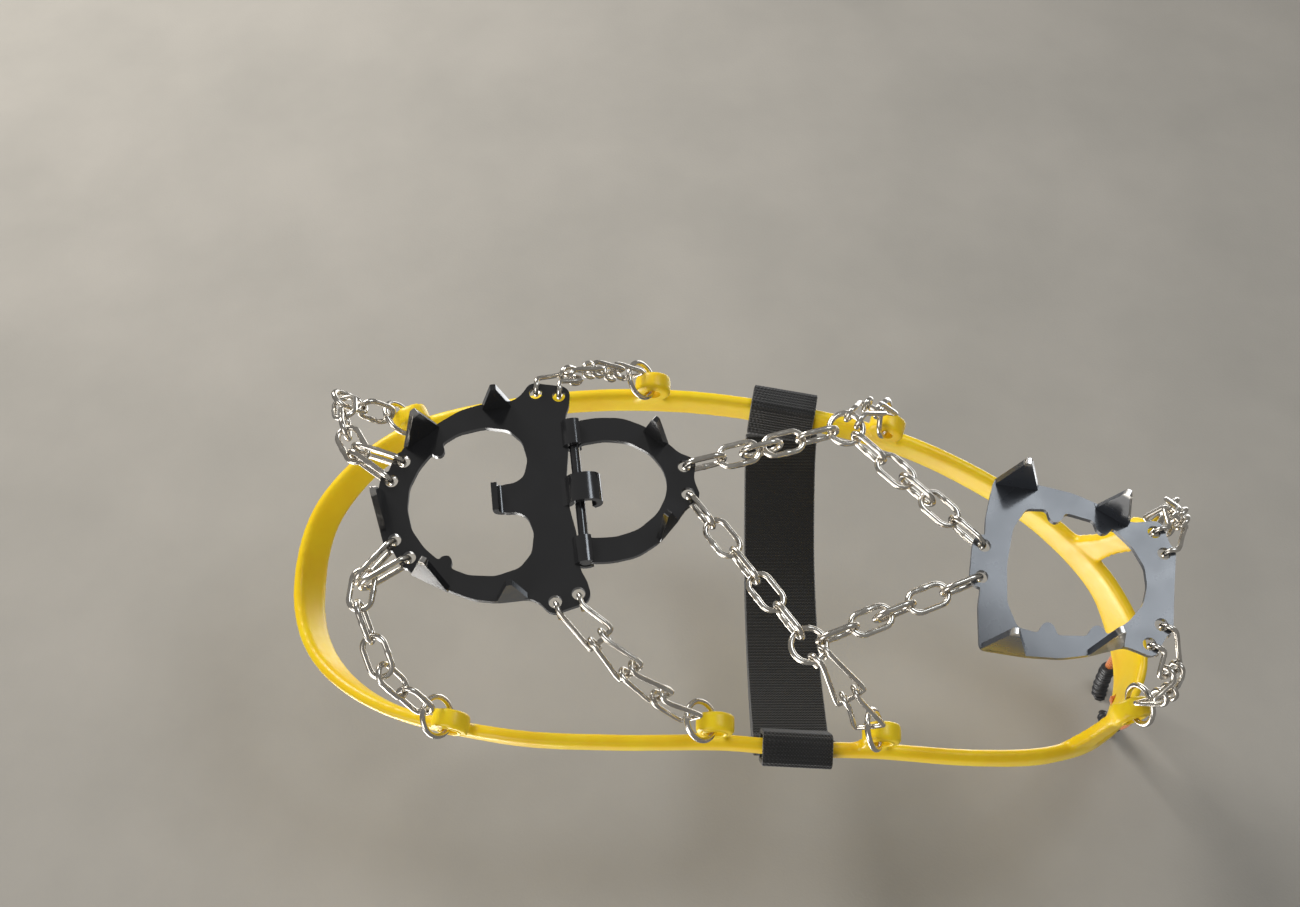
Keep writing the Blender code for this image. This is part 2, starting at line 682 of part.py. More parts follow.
def make_toe_chain(side, word, join, corners, groups):
    """Two links through the corner holes, a link that joins them and a single strand."""
    holes_here = [on_plate(FRONT, u, v * side) for u, v in (FRONT_INNER_HOLE, FRONT_OUTER_HOLE)]
    middle = (holes_here[0] + holes_here[1]) / 2
    way = square_to(UP, join - middle)
    spread = UP.cross(way)
    for label, hole in zip(("front", "rear"), holes_here):
        foot = join + spread * 1.35 * (1 if (hole - middle).dot(spread) > 0 else -1)
        along = (foot - hole).normalized()
        begin = hole + along * (BAR_OFFSET - HOLE_BITE)
        end = foot + along * FOLD_BITE
        upright = along.cross(square_to(along, along.cross(UP)))
        hole_link = link((begin + end) / 2, along, upright, (end - begin).length + LINK_WIRE)
        settle(hole_link, f"toe_{word}_{label}_hole_link", "zinc")
    rung, along_band, _ = lug_join(f"toe_{word}", corners[-1])
    flat = UP.cross(square_to(UP, corners[0] - join))
    if flat.dot(along_band) < 0:
        flat.negate()
    joints = [join - (corners[0] - join).normalized() * (FOLD_START - WIRE_BITE / 2)] + corners + [rung]
    index = 0
    for turn, ((name, count), begin, end) in enumerate(zip(groups, joints, joints[1:])):
        along = (end - begin).normalized()
        size = 2 * LINK_HALF + (count - 1) * LINK_STEP
        middle = (begin + end) / 2
        if end is rung:
            middle -= along * (size - (end - begin).length) / 2
        lie = square_to(along, flat.lerp(along_band, turn / 2))
        pieces = []
        for k in range(count):
            across = along.cross(lie) if index % 2 else lie
            pieces.append(link(middle + along * LINK_STEP * (k - (count - 1) / 2), along, across))
            index += 1
        hang(union_chain(pieces, name), middle, along)


def loop_profile(width, height, radius, steps=4):
    """Rounded rectangle as points about its middle."""
    points = []
    for k, (sx, sy) in enumerate(((1, 1), (-1, 1), (-1, -1), (1, -1))):
        centre = (sx * (width / 2 - radius), sy * (height / 2 - radius))
        points += arc(centre, radius, 90 * k, 90 * k + 90, steps)
    return points


def band_spot(y, inner):
    """Middle of the band where it crosses Y on one side, and its direction there."""
    places = smooth_path([Vector(p) for p, _, _ in BAND], 24, closed=True)
    side = [k for k, p in enumerate(places) if (p.x < 0) == inner and abs(p.y - y) < 20.0]
    k = min(side, key=lambda k: abs(places[k].y - y))
    along = places[k + 1] - places[k - 1]
    along.z = 0.0
    along.normalize()
    return places[k], along if along.y > 0 else -along


def make_loops_and_ring():
    """Webbing loops round the band, and the buckle ring in the inner one."""
    spots, rises = {}, {}
    for word, lean, extra in (("inner", 0.32, RING_RISE), ("outer", -0.32, 0.0)):
        spot, axis = band_spot(STRAP_Y, word == "inner")
        spots[word] = spot
        rises[word] = Vector((lean, 0.0, 1.0)).normalized()
        rise = square_to(axis, rises[word])
        out = axis.cross(rise)
        tall = LOOP_TALL + extra
        wide = BAND_THICK + 6.5
        turn = placement(spot + rise * extra / 2, out, rise, out.cross(rise))
        outlines = [loop_profile(wide, tall, 2.6),
                    loop_profile(wide - 2 * LOOP_WALL, tall - 2 * LOOP_WALL, 1.6)]
        settle(sheet(outlines, STRAP_WIDTH - 3.0, turn), f"{word}_webbing_loop", "webbing")
    rise = rises["inner"]
    top = RING_RISE / 2 + (LOOP_TALL + RING_RISE) / 2 - LOOP_WALL
    pin = spots["inner"] + rise * (top - BUCKLE_WIRE / 2 - SLIP)
    half_y, half_z = (STRAP_WIDTH + 5.0) / 2, (RING_SLOT + BUCKLE_WIRE) / 2
    across = Vector((0.0, 1.0, 0.0))
    outline = [(-0.9, -1), (0.9, -1), (1, -0.7), (1, 0.7), (0.9, 1), (-0.9, 1), (-1, 0.7), (-1, -0.7)]
    corners = [pin + across * a * half_y + rise * (1 + b) * half_z for a, b in outline]
    ring = wire(corners, BUCKLE_WIRE / 2, closed=True, resolution=1)
    hang(settle(ring, "buckle_ring", "zinc"), pin, across)
    return spots["outer"] + rises["outer"] * 10.6, rise, pin + rise * 2 * half_z


def strip_along(points, width, thick):
    """A strip of webbing through points in an XZ plane at STRAP_Y."""
    frame = (Vector((0.0, STRAP_Y, 0.0)), Vector((1.0, 0.0, 0.0)), Vector((0.0, 1.0, 0.0)))
    return rolled_strip([(p.x, p.z) for p in points], thick, 0.0, width, frame)


def make_webbing():
    """Strap from the outer loop, over the instep and round the ring's upper bar; then the
    flap that folds back on it, and the patch sewn on the flap."""
    outer_start, rise, bar = make_loops_and_ring()
    out = Vector((-rise.z, 0.0, rise.x))
    gap = BUCKLE_WIRE / 2 + STRAP_THICK / 2 + SLIP
    over = [outer_start, Vector((46.0, 0.0, 88.0)), Vector((22.0, 0.0, 101.5)), Vector((0.0, 0.0, STRAP_TOP)),
            Vector((-22.0, 0.0, 99.5)), bar - out * gap + rise]
    turn = [bar + (out * -math.cos(angle) - rise * math.sin(angle)) * gap
            for angle in (math.radians(30 * k) for k in range(7))]
    settle(strip_along(smooth_path(over, 4) + turn, STRAP_WIDTH, STRAP_THICK), "instep_strap", "webbing")
    lift = STRAP_THICK + 0.9
    begin = bar + out * gap + rise * 0.9
    back = [Vector((-22.0, 0.0, 99.5 + lift)), Vector((0.0, 0.0, STRAP_TOP + lift - 0.2)),
            Vector((12.0, 0.0, 103.4 + lift))]
    flap = strip_along(smooth_path([begin, Vector((-40.5, 0.0, 95.4))] + back, 4), STRAP_WIDTH, STRAP_THICK)
    sewn = [place + UP * (STRAP_THICK / 2 + 0.9) for place in smooth_path(back, 3)]
    patch = strip_along(sewn, STRAP_WIDTH - 5.0, 0.8)
    fold = Vector((0.0, -1.0, 0.0))
    hang(settle(flap, "strap_flap", "webbing"), begin, fold)
    hang(settle(patch, "label_patch", "label"), begin, fold)


def make_pull_loop():
    """Cord in at one hole of the heel tab, up and over, and out at the other."""
    right, left = PULL_HOLES[1], PULL_HOLES[-1]
    middle = (right + left) / 2
    rise = [(0.5, 5.5, 3.0), (2.5, 5.0, 24.0), (-3.0, 3.5, 40.0)]
    start = [right + Vector((0.0, -5.5, 0.0)), right] + [right + Vector(step) for step in rise]
    start[-1].x = middle.x + 7.0
    finish = [Vector((2 * middle.x - p.x, p.y, p.z)) for p in reversed(start)]
    path = smooth_path(start + [middle + Vector((0.0, 3.0, 45.0))] + finish, 4)
    cord = wire(path, PULL_CORD_R, resolution=1)
    top = [p for p in path if p.z > middle.z + 30.0]
    tube = wire(top, PULL_CORD_R + TUBE_WALL, resolution=1)
    reach = 3.0
    bore = ([top[0] + (top[0] - top[1]).normalized() * reach] + top
            + [top[-1] + (top[-1] - top[-2]).normalized() * reach])
    boolean(tube, wire(bore, PULL_CORD_R + SLIP, resolution=1), "DIFFERENCE")
    swing = Vector((-1.0, 0.0, 0.0))
    hang(settle(cord, "pull_cord", "cord"), middle, swing)
    hang(settle(tube, "pull_grip_tube", "tube"), middle, swing)


make_front_plate()
make_arch_plate()
make_heel_plate()
make_harness()
BALL_EDGES = {-1: Vector((-44.0, -6.0, 27.0)), 1: Vector((56.0, -20.0, 27.0))}
HEEL_EDGES = {-1: Vector((-49.0, 154.0, 26.0)), 1: Vector((8.0, 164.0, 26.0))}
for side, word in ((-1, "inner"), (1, "outer")):
    make_edge_ladder(FRONT, f"ball_{word}", EAR_FRONT_HOLE, EAR_REAR_HOLE, side, BALL_EDGES[side], 4)
    make_edge_ladder(HEEL, f"heel_{word}", HEEL_OUTER_HOLE, HEEL_REAR_HOLE, side, HEEL_EDGES[side], 3)
INNER_MASTER = Vector((-38.5, 46.5, PLATE_Z))
OUTER_MASTER = Vector((31.5, 61.0, PLATE_Z))
make_arch_chains(-1, "inner", INNER_MASTER, [("inner_front_run_a", 3), ("inner_front_run_b", 2)],
                 [("inner_rear_run_a", 3), ("inner_rear_run_b", 2)])
make_arch_chains(1, "outer", OUTER_MASTER,
                 [("outer_front_run_a", 2), ("outer_front_run_b", 1), ("outer_front_run_c", 2)],
                 [("outer_rear_run_a", 2), ("outer_rear_run_b", 1), ("outer_rear_run_c", 2)])
make_arch_ladder("inner", INNER_MASTER, Vector((-50.5, 58.0, 26.0)), 2)
make_arch_ladder("outer", OUTER_MASTER, Vector((42.0, 70.0, 26.0)), 2)
make_toe_chain(-1, "inner", Vector((-18.6, -85.5, PLATE_Z)),
               [Vector((-26.4, -86.2, 19.2)), Vector((-44.2, -79.2, 27.5))],
               [("toe_inner_fold_link", 1), ("toe_inner_strand_a", 2), ("toe_inner_strand_b", 2)])
make_toe_chain(1, "outer", Vector((23.5, -90.6, PLATE_Z)),
               [Vector((30.5, -94.7, 19.2)), Vector((47.5, -98.5, 31.5))],
               [("toe_outer_fold_link", 1), ("toe_outer_strand_a", 2), ("toe_outer_strand_b", 2)])
make_webbing()
make_pull_loop()
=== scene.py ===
"""Looks of the shoe ice cleat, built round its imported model.

Design places are millimetres about the middle of the foot, as in the model; CENTRE moves
them into the row frame.  Inner is the medial side, -X; the toe is at -Y.
"""
import json
import math

import bmesh
import bpy
from mathutils import Matrix, Vector


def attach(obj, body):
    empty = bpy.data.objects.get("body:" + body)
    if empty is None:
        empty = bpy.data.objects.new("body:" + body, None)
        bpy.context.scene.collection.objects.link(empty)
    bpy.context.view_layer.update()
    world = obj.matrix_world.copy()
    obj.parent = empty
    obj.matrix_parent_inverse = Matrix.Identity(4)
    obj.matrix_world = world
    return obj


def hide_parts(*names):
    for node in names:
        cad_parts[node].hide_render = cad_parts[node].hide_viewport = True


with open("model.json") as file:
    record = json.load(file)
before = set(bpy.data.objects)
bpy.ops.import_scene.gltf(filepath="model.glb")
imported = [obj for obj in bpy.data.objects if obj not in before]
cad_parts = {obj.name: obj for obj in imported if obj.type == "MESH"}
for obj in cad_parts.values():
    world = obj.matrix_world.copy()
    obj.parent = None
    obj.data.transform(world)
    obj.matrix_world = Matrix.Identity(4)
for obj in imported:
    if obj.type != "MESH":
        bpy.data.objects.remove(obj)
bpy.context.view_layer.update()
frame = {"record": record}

MM = 0.001
CENTRE = Vector((-1.66, -25.17, 0.0))
X_AXIS, Y_AXIS, UP = Vector((1.0, 0.0, 0.0)), Vector((0.0, 1.0, 0.0)), Vector((0.0, 0.0, 1.0))
MIDFOOT = Vector((-4.0, 20.0, 0.0))
BODIES = frame["record"]["behaviour"]["bodies"]
BODY_OF = {node: body for body, nodes in BODIES.items() for node in nodes}

# ---- sizes shared with the model ---------------------------------------------------
STUD_TALL, STUD_SHORT, STUD_TIP = 18.0, 13.0, 1.6
BASE_TALL, BASE_SHORT = 13.6, 9.6
SHEET, STRIP = 2.0, 1.8
PLATE_Z = STUD_TALL + SHEET / 2
HOLE_R, LOBE_R = 2.0, 3.5
BAR_OFFSET = (HOLE_R + LOBE_R) / 2
LINK_LENGTH, LINK_WIDTH, LINK_WIRE = 14.4, 8.6, 1.8
LINK_STEP = LINK_LENGTH - 2 * LINK_WIRE + 0.2
LINK_HALF = (LINK_LENGTH - LINK_WIRE) / 2
HOLE_BITE, WIRE_BITE, FOLD_BITE, FOLD_START = 2.55, 2.15, 1.7, 3.5
LADDER_WIRE, HOOK_R, PLATE_HOOK_R = 1.6, 2.3, 2.45
HOOK_HALF, RUNG_HALF, HOLE_PITCH = 2.0, 4.4, 7.3
RING_R, RING_WIRE, MASTER_R = 6.0, 1.8, 5.2
BAND_THICK, LUG_R, LUG_THICK, LUG_HOLE_R, NECK_THICK = 4.4, 6.0, 6.0, 2.7, 3.6
STRAP_WIDTH, STRAP_THICK, STRAP_Y, STRAP_TOP = 25.0, 2.0, 46.0, 104.0
LOOP_TALL, LOOP_WALL, RING_SLOT, RING_RISE = 16.5, 1.6, 7.5, 4.2
BUCKLE_WIRE, SLIP = 2.6, 0.35
HINGE_U, BAR_R, ROLL_INNER, ROLL_OUTER = 4.3, 1.55, 1.95, 3.6
PULL_HOLES = {1: Vector((-12.0, 164.0, 104.0)), -1: Vector((-32.0, 164.0, 104.0))}
PULL_HOLE_R, PULL_CORD_R, TUBE_WALL = 2.2, 1.5, 1.4
LUGS = {
    "toe_inner": Vector((-53.0, -61.5, 52.0)), "ball_inner": Vector((-54.0, 20.0, 51.0)),
    "arch_inner": Vector((-57.0, 71.0, 51.0)), "heel_inner": Vector((-50.0, 148.0, 50.0)),
    "toe_outer": Vector((51.0, -80.0, 54.0)), "ball_outer": Vector((62.0, 1.0, 51.0)),
    "arch_outer": Vector((47.0, 79.0, 51.0)), "heel_outer": Vector((8.0, 159.0, 50.0)),
}
BAND = [
    ((2.0, -116.0, 84.0), 0.75, 13.0), ((-24.0, -108.0, 80.0), 0.60, 12.0),
    ((-44.0, -84.0, 70.0), 0.25, 11.0), ((-54.0, -46.0, 66.0), 0.10, 11.0),
    ((-56.0, -12.0, 66.0), 0.10, 11.0), ((-56.0, 22.0, 66.0), 0.10, 11.0),
    ((-58.0, 46.0, 66.0), 0.10, 11.0), ((-58.5, 72.0, 67.0), 0.10, 11.0),
    ((-60.0, 104.0, 70.0), 0.08, 12.0), ((-57.0, 130.0, 77.0), 0.05, 14.0),
    ((-46.0, 152.0, 89.0), 0.05, 18.0), ((-22.0, 165.0, 99.0), 0.05, 30.0),
    ((2.0, 157.0, 89.0), 0.05, 18.0), ((22.0, 136.0, 78.0), 0.05, 14.0),
    ((38.0, 109.0, 71.0), 0.08, 12.0), ((50.0, 80.0, 67.0), 0.10, 11.0),
    ((59.0, 44.0, 66.0), 0.10, 11.0), ((64.0, 4.0, 66.0), 0.10, 11.0),
    ((62.0, -38.0, 66.0), 0.10, 11.0), ((52.0, -82.0, 69.0), 0.25, 11.0),
    ((30.0, -109.0, 78.0), 0.60, 12.0),
]

# ---- sizes that only the looks have --------------------------------------------------
EDGE_BREAK, VOXEL, BAND_SIDES = 0.28, 0.75, 16
WEAR_RATE = 260.0  # how fast the paint returns above the tip of a stud, per metre
WELD_SPREAD, LINK_WELD, RING_WELD = 0.8, 0.16, 0.14
RIB_PITCH, RIB_HEIGHT = 1.25, 0.16
LOOP_ROOM, FLAP_GAP, LABEL_THICK, TAPE_THICK = 6.5, 0.9, 0.8, 0.5


# ---- materials ---------------------------------------------------------------------
class Nodes:
    """A material's node tree with short ways to add and join nodes."""

    def __init__(self, name):
        self.material = bpy.data.materials.new(name)
        self.material.use_nodes = True
        self.tree = self.material.node_tree
        self.shader = self.tree.nodes["Principled BSDF"]
        self.coords = self.tree.nodes.new("ShaderNodeTexCoord")

    def add(self, kind, **values):
        node = self.tree.nodes.new(kind)
        for key, value in values.items():
            setattr(node, key, value)
        return node

    def join(self, source, target):
        self.tree.links.new(source, target)

    def noise(self, scale, detail=4.0, coords="Object", roughness=0.55):
        node = self.add("ShaderNodeTexNoise")
        node.inputs["Scale"].default_value = scale
        node.inputs["Detail"].default_value = detail
        node.inputs["Roughness"].default_value = roughness
        self.join(self.coords.outputs[coords], node.inputs["Vector"])
        return node.outputs["Fac"]

    def ramp(self, source, low, high, first, last):
        """A smooth change from one colour or grey to another as the source rises."""
        node = self.add("ShaderNodeValToRGB")
        node.color_ramp.elements[0].position = low
        node.color_ramp.elements[1].position = high
        for element, value in zip(node.color_ramp.elements, (first, last)):
            element.color = (*value, 1.0) if isinstance(value, tuple) else (value, value, value, 1.0)
        self.join(source, node.inputs["Fac"])
        return node.outputs["Color"]

    def vary(self, socket, source, low, high, first, last):
        """Let a source move one input of the shader between two values."""
        self.join(self.ramp(source, low, high, first, last), self.shader.inputs[socket])

    def wave(self, scale, turn, distortion=0.0):
        """Bands across the UV map, turned by an angle."""
        place = self.add("ShaderNodeMapping")
        place.inputs["Rotation"].default_value = (0.0, 0.0, math.radians(turn))
        self.join(self.coords.outputs["UV"], place.inputs["Vector"])
        node = self.add("ShaderNodeTexWave")
        node.inputs["Scale"].default_value = scale
        node.inputs["Distortion"].default_value = distortion
        self.join(place.outputs["Vector"], node.inputs["Vector"])
        return node.outputs["Fac"]

    def math(self, operation, first, second):
        node = self.add("ShaderNodeMath", operation=operation)
        for socket, value in zip(node.inputs, (first, second)):
            if isinstance(value, (int, float)):
                socket.default_value = value
            else:
                self.join(value, socket)
        return node.outputs["Value"]

    def bump(self, height, distance, strength=1.0, under=None):
        node = self.add("ShaderNodeBump")
        node.inputs["Distance"].default_value = distance * MM
        node.inputs["Strength"].default_value = strength
        self.join(height, node.inputs["Height"])
        if under:
            self.join(under, node.inputs["Normal"])
        return node.outputs["Normal"]

    def mix(self, factor, first, second):
        node = self.add("ShaderNodeMix", data_type="RGBA")
        self.join(factor, node.inputs["Factor"])
        for socket, value in ((node.inputs[6], first), (node.inputs[7], second)):
            if isinstance(value, tuple):
                socket.default_value = (*value, 1.0)
            else:
                self.join(value, socket)
        return node.outputs[2]


def elastomer():
    n = Nodes("elastomer_yellow")
    n.vary("Base Color", n.noise(60.0), 0.3, 0.7, (0.94, 0.60, 0.004), (1.00, 0.72, 0.008))
    n.vary("Roughness", n.noise(220.0), 0.3, 0.7, 0.30, 0.46)
    fine = n.bump(n.noise(2600.0, 2.0), 0.03, 0.5)
    n.join(n.bump(n.noise(160.0), 0.12, 0.35, fine), n.shader.inputs["Normal"])
    n.shader.inputs["Subsurface Weight"].default_value = 0.12
    n.shader.inputs["Subsurface Radius"].default_value = (0.004, 0.002, 0.0006)
    n.shader.inputs["Subsurface Scale"].default_value = 0.5
    return n.material


def paint(name, colour, smoothest, roughest):
    """Painted sheet, rubbed down to the steel at the tips of the studs."""
    n = Nodes(name)
    place = n.add("ShaderNodeSeparateXYZ")
    n.join(n.coords.outputs["Object"], place.inputs["Vector"])
    height = n.math("MULTIPLY", place.outputs["Z"], WEAR_RATE)
    edge = n.math("ADD", height, n.math("MULTIPLY", n.noise(500.0), 0.6))
    worn = n.ramp(edge, 0.55, 0.85, 1.0, 0.0)
    n.join(n.mix(worn, colour, (0.60, 0.58, 0.55)), n.shader.inputs["Base Color"])
    n.join(worn, n.shader.inputs["Metallic"])
    n.vary("Roughness", n.noise(90.0, 8.0), 0.35, 0.7, smoothest, roughest)
    peel = n.bump(n.noise(900.0, 2.0), 0.02, 0.5)
    n.join(n.bump(n.noise(70.0, 3.0), 0.10, 0.25, peel), n.shader.inputs["Normal"])
    n.shader.inputs["Coat Weight"].default_value = 0.7
    n.shader.inputs["Coat Roughness"].default_value = 0.12
    return n.material


def metal(name, light, dark, smoothest, roughest):
    n = Nodes(name)
    n.vary("Base Color", n.noise(150.0, 8.0), 0.35, 0.65, dark, light)
    n.vary("Roughness", n.noise(420.0, 6.0), 0.3, 0.7, smoothest, roughest)
    n.join(n.bump(n.noise(700.0, 2.0), 0.02, 0.12), n.shader.inputs["Normal"])
    n.shader.inputs["Metallic"].default_value = 1.0
    return n.material


def weave(name, light, dark, pitch_turns, sheen, depth=0.25):
    """Two sets of threads that cross on the UV map, whose unit is a millimetre."""
    n = Nodes(name)
    sets = [n.wave(scale, turn) for scale, turn in pitch_turns]
    threads = n.math("MULTIPLY", sets[0], sets[1])
    n.join(n.mix(n.math("MULTIPLY", threads, n.noise(500.0)), dark, light), n.shader.inputs["Base Color"])
    n.shader.inputs["Roughness"].default_value = 0.78
    n.shader.inputs["Sheen Weight"].default_value = sheen
    n.join(n.bump(threads, depth, 0.8), n.shader.inputs["Normal"])
    return n.material


def sleeve():
    n = Nodes("sleeve_black")
    n.vary("Base Color", n.noise(300.0), 0.3, 0.7, (0.010, 0.010, 0.011), (0.028, 0.028, 0.030))
    n.vary("Roughness", n.noise(120.0), 0.3, 0.7, 0.35, 0.6)
    n.join(n.bump(n.wave(0.25, 0.0, 1.5), 0.2, 0.6), n.shader.inputs["Normal"])
    return n.material


ELASTOMER = elastomer()
GLOSS_PAINT = paint("paint_gloss_black", (0.013, 0.013, 0.014), 0.10, 0.24)
SATIN_PAINT = paint("paint_satin_black", (0.030, 0.034, 0.042), 0.24, 0.38)
BARE = metal("steel_sheared_edge", (0.62, 0.60, 0.57), (0.25, 0.24, 0.23), 0.25, 0.45)
ZINC = metal("zinc_bright", (0.74, 0.70, 0.63), (0.56, 0.52, 0.46), 0.14, 0.26)
TWILL = ((0.45, 45.0), (0.45, -45.0))
BRAID = ((0.30, 40.0), (0.30, -40.0))
TWIST = ((0.6, 35.0), (0.6, -35.0))
SQUARE = ((0.8, 0.0), (0.8, 90.0))
WEBBING = weave("webbing_black", (0.035, 0.035, 0.036), (0.006, 0.006, 0.006), TWILL, 0.25)
CORD = weave("cord_orange", (0.95, 0.36, 0.03), (0.55, 0.13, 0.01), BRAID, 0.3)
LABEL = weave("label_yellow", (0.90, 0.78, 0.04), (0.62, 0.50, 0.02), SQUARE, 0.2, 0.1)
THREAD = weave("thread_black", (0.04, 0.04, 0.04), (0.01, 0.01, 0.01), TWIST, 0.2)
PRINT = weave("mark_yellow", (0.85, 0.70, 0.05), (0.60, 0.45, 0.03), SQUARE, 0.1, 0.1)
SLEEVE = sleeve()


# ---- geometry helpers, in design millimetres ---------------------------------------
def piece_from(build, name):
    """An object from a bmesh in design millimetres, moved into the row frame."""
    bmesh.ops.recalc_face_normals(build, faces=build.faces)
    mesh = bpy.data.meshes.new(name)
    build.to_mesh(mesh)
    build.free()
    mesh.transform(Matrix.Diagonal((MM, MM, MM, 1.0)) @ Matrix.Translation(CENTRE))
    piece = bpy.data.objects.new(name, mesh)
    bpy.context.scene.collection.objects.link(piece)
    return piece


def dress(piece, node, slot, *materials, replaces=True, smooth=40.0):
    """Give a piece its materials and its place in the frame."""
    piece.data.materials.clear()
    for material in materials:
        piece.data.materials.append(material)
    piece.data.shade_smooth()
    piece.data.set_sharp_from_angle(angle=math.radians(smooth))
    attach(piece, BODY_OF[node])
    if replaces:
        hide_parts(node)
    return piece


def square_to(axis, vector):
    return (vector - axis * vector.dot(axis)).normalized()


def arc(centre, radius, start, end, steps):
    points = []
    for k in range(steps + 1):
        angle = math.radians(start + (end - start) * k / steps)
        points.append((centre[0] + radius * math.cos(angle), centre[1] + radius * math.sin(angle)))
    return points


def smooth_path(controls, samples=24, closed=False):
    """Catmull-Rom curve through the control points."""
    count = len(controls)

    def control(k):
        return controls[k % count] if closed else controls[max(0, min(count - 1, k))]

    points = []
    for k in range(count if closed else count - 1):
        a, b, c, d = (control(k + j) for j in (-1, 0, 1, 2))
        for j in range(samples):
            t = j / samples
            points.append(0.5 * (2 * b + (c - a) * t + (2 * a - 5 * b + 4 * c - d) * t * t
                                 + (3 * b - a - 3 * c + d) * t * t * t))
    if not closed:
        points.append(controls[-1])
    return points


def even_points(path, count):
    """Split a path into equal lengths."""
    lengths = [0.0]
    for a, b in zip(path, path[1:]):
        lengths.append(lengths[-1] + (b - a).length)
    found = []
    k = 0
    for j in range(count + 1):
        want = lengths[-1] * j / count
        while k < len(path) - 2 and lengths[k + 1] < want:
            k += 1
        found.append(path[k].lerp(path[k + 1], (want - lengths[k]) / (lengths[k + 1] - lengths[k])))
    return found


def tangent_at(points, k, closed):
    before = points[k - 1] if closed or k else points[0]
    after = points[(k + 1) % len(points)] if closed or k < len(points) - 1 else points[-1]
    return (after - before).normalized()


def join_rings(build, uv, a, b, turn, lengths, heights):
    """Faces from one ring of vertices to the next, which is turned by some places.  lengths
    are the places of the two rings along the piece, and heights those round it."""
    size = len(a)
    start, end = lengths
    for j in range(size):
        far = (j + 1) % size
        face = build.faces.new((a[j], a[far], b[(far + turn) % size], b[(j + turn) % size]))
        low, high = heights[j], heights[j + 1]
        for loop, spot in zip(face.loops, ((start, low), (start, high), (end, high), (end, low))):
            loop[uv].uv = spot


def add_tube(build, points, radius, sides=14, closed=False):
    """A round bar through the points.  radius is a number or one for each point.  The UV
    map runs along it and round it in millimetres."""
    count = len(points)
    radii = radius if isinstance(radius, list) else [radius] * count
    uv = build.loops.layers.uv.verify()
    tangents = [tangent_at(points, k, closed) for k in range(count)]
    side = tangents[0].orthogonal().normalized()
    rings, along = [], [0.0]
    for k in range(count):
        side = square_to(tangents[k], side)
        other = tangents[k].cross(side)
        ring = []
        for j in range(sides):
            angle = 2 * math.pi * j / sides
            offset = side * math.cos(angle) + other * math.sin(angle)
            ring.append(build.verts.new(points[k] + offset * radii[k]))
        rings.append(ring)
        along.append(along[-1] + (points[(k + 1) % count] - points[k]).length)
    shift = 0
    if closed:
        shift = min(range(sides), key=lambda j: (rings[0][j].co - rings[-1][0].co).length)
    for k in range(count if closed else count - 1):
        turn = shift if closed and k == count - 1 else 0
        girth = 2 * math.pi * radii[k] / sides
        heights = [girth * j for j in range(sides + 1)]
        join_rings(build, uv, rings[k], rings[(k + 1) % count], turn, along[k:k + 2], heights)
    if not closed:
        for end, way in ((0, -1), (count - 1, 1)):
            tip = build.verts.new(points[end] + tangents[end] * radii[end] * 0.4 * way)
            for j in range(sides):
                build.faces.new((rings[end][j], rings[end][(j + 1) % sides], tip))


def tube(name, points, radius, sides=14, closed=False):
    build = bmesh.new()
    add_tube(build, points, radius, sides, closed)
    return piece_from(build, name)


def softened(outline, radius=1.2, steps=4):
    """Round the corners of an outline of (x, y) points."""
    points = [Vector(p) for p in outline]
    rounded = []
    for k, corner in enumerate(points):
        before, after = points[k - 1], points[(k + 1) % len(points)]
        if min((before - corner).length, (after - corner).length) < 0.01:
            rounded.append(corner)
            continue
        start = corner + (before - corner).normalized() * min(radius, 0.42 * (before - corner).length)
        end = corner + (after - corner).normalized() * min(radius, 0.42 * (after - corner).length)
        for j in range(steps + 1):
            t = j / steps
            rounded.append(start * (1 - t) ** 2 + corner * 2 * t * (1 - t) + end * t * t)
    return [(p.x, p.y) for p in rounded]


def sheet(outlines, thick, matrix):
    """A flat sheet: the first outline is its edge, the rest are holes in it."""
    data = bpy.data.curves.new("sheet", "CURVE")
    data.dimensions = "2D"
    data.fill_mode = "BOTH"
    data.extrude = thick / 2
    for outline in outlines:
        spline = data.splines.new("POLY")
        spline.points.add(len(outline) - 1)
        for spot, (x, y) in zip(spline.points, outline):
            spot.co = (x, y, 0.0, 1.0)
        spline.use_cyclic_u = True
    curve = bpy.data.objects.new("sheet", data)
    bpy.context.scene.collection.objects.link(curve)
    bpy.context.view_layer.update()
    graph = bpy.context.evaluated_depsgraph_get()
    mesh = bpy.data.meshes.new_from_object(curve.evaluated_get(graph))
    bpy.data.objects.remove(curve, do_unlink=True)
    build = bmesh.new()
    build.from_mesh(mesh)
    bmesh.ops.remove_doubles(build, verts=build.verts, dist=0.002)
    build.transform(matrix)
    return piece_from(build, "sheet")


def with_modifier(piece, kind, **values):
    """Add a modifier, set it and apply it."""
    step = piece.modifiers.new("step", kind)
    for key, value in values.items():
        setattr(step, key, value)
    bpy.context.view_layer.update()
    graph = bpy.context.evaluated_depsgraph_get()
    mesh = bpy.data.meshes.new_from_object(piece.evaluated_get(graph))
    piece.modifiers.clear()
    piece.data = mesh
    return piece


def joined(piece, other, operation="UNION"):
    with_modifier(piece, "BOOLEAN", operation=operation, solver="EXACT", object=other)
    bpy.data.objects.remove(other, do_unlink=True)
    return piece


def rod(centre, axis, radius, length, sides):
    build = bmesh.new()
    turn = axis.to_track_quat("Z", "Y").to_matrix().to_4x4()
    bmesh.ops.create_cone(build, cap_ends=True, segments=sides, radius1=radius, radius2=radius,
                          depth=length, matrix=Matrix.Translation(centre) @ turn)
    return piece_from(build, "rod")


def placement(origin, x_axis, y_axis, z_axis):
    return Matrix.Translation(origin) @ Matrix((x_axis, y_axis, z_axis)).transposed().to_4x4()


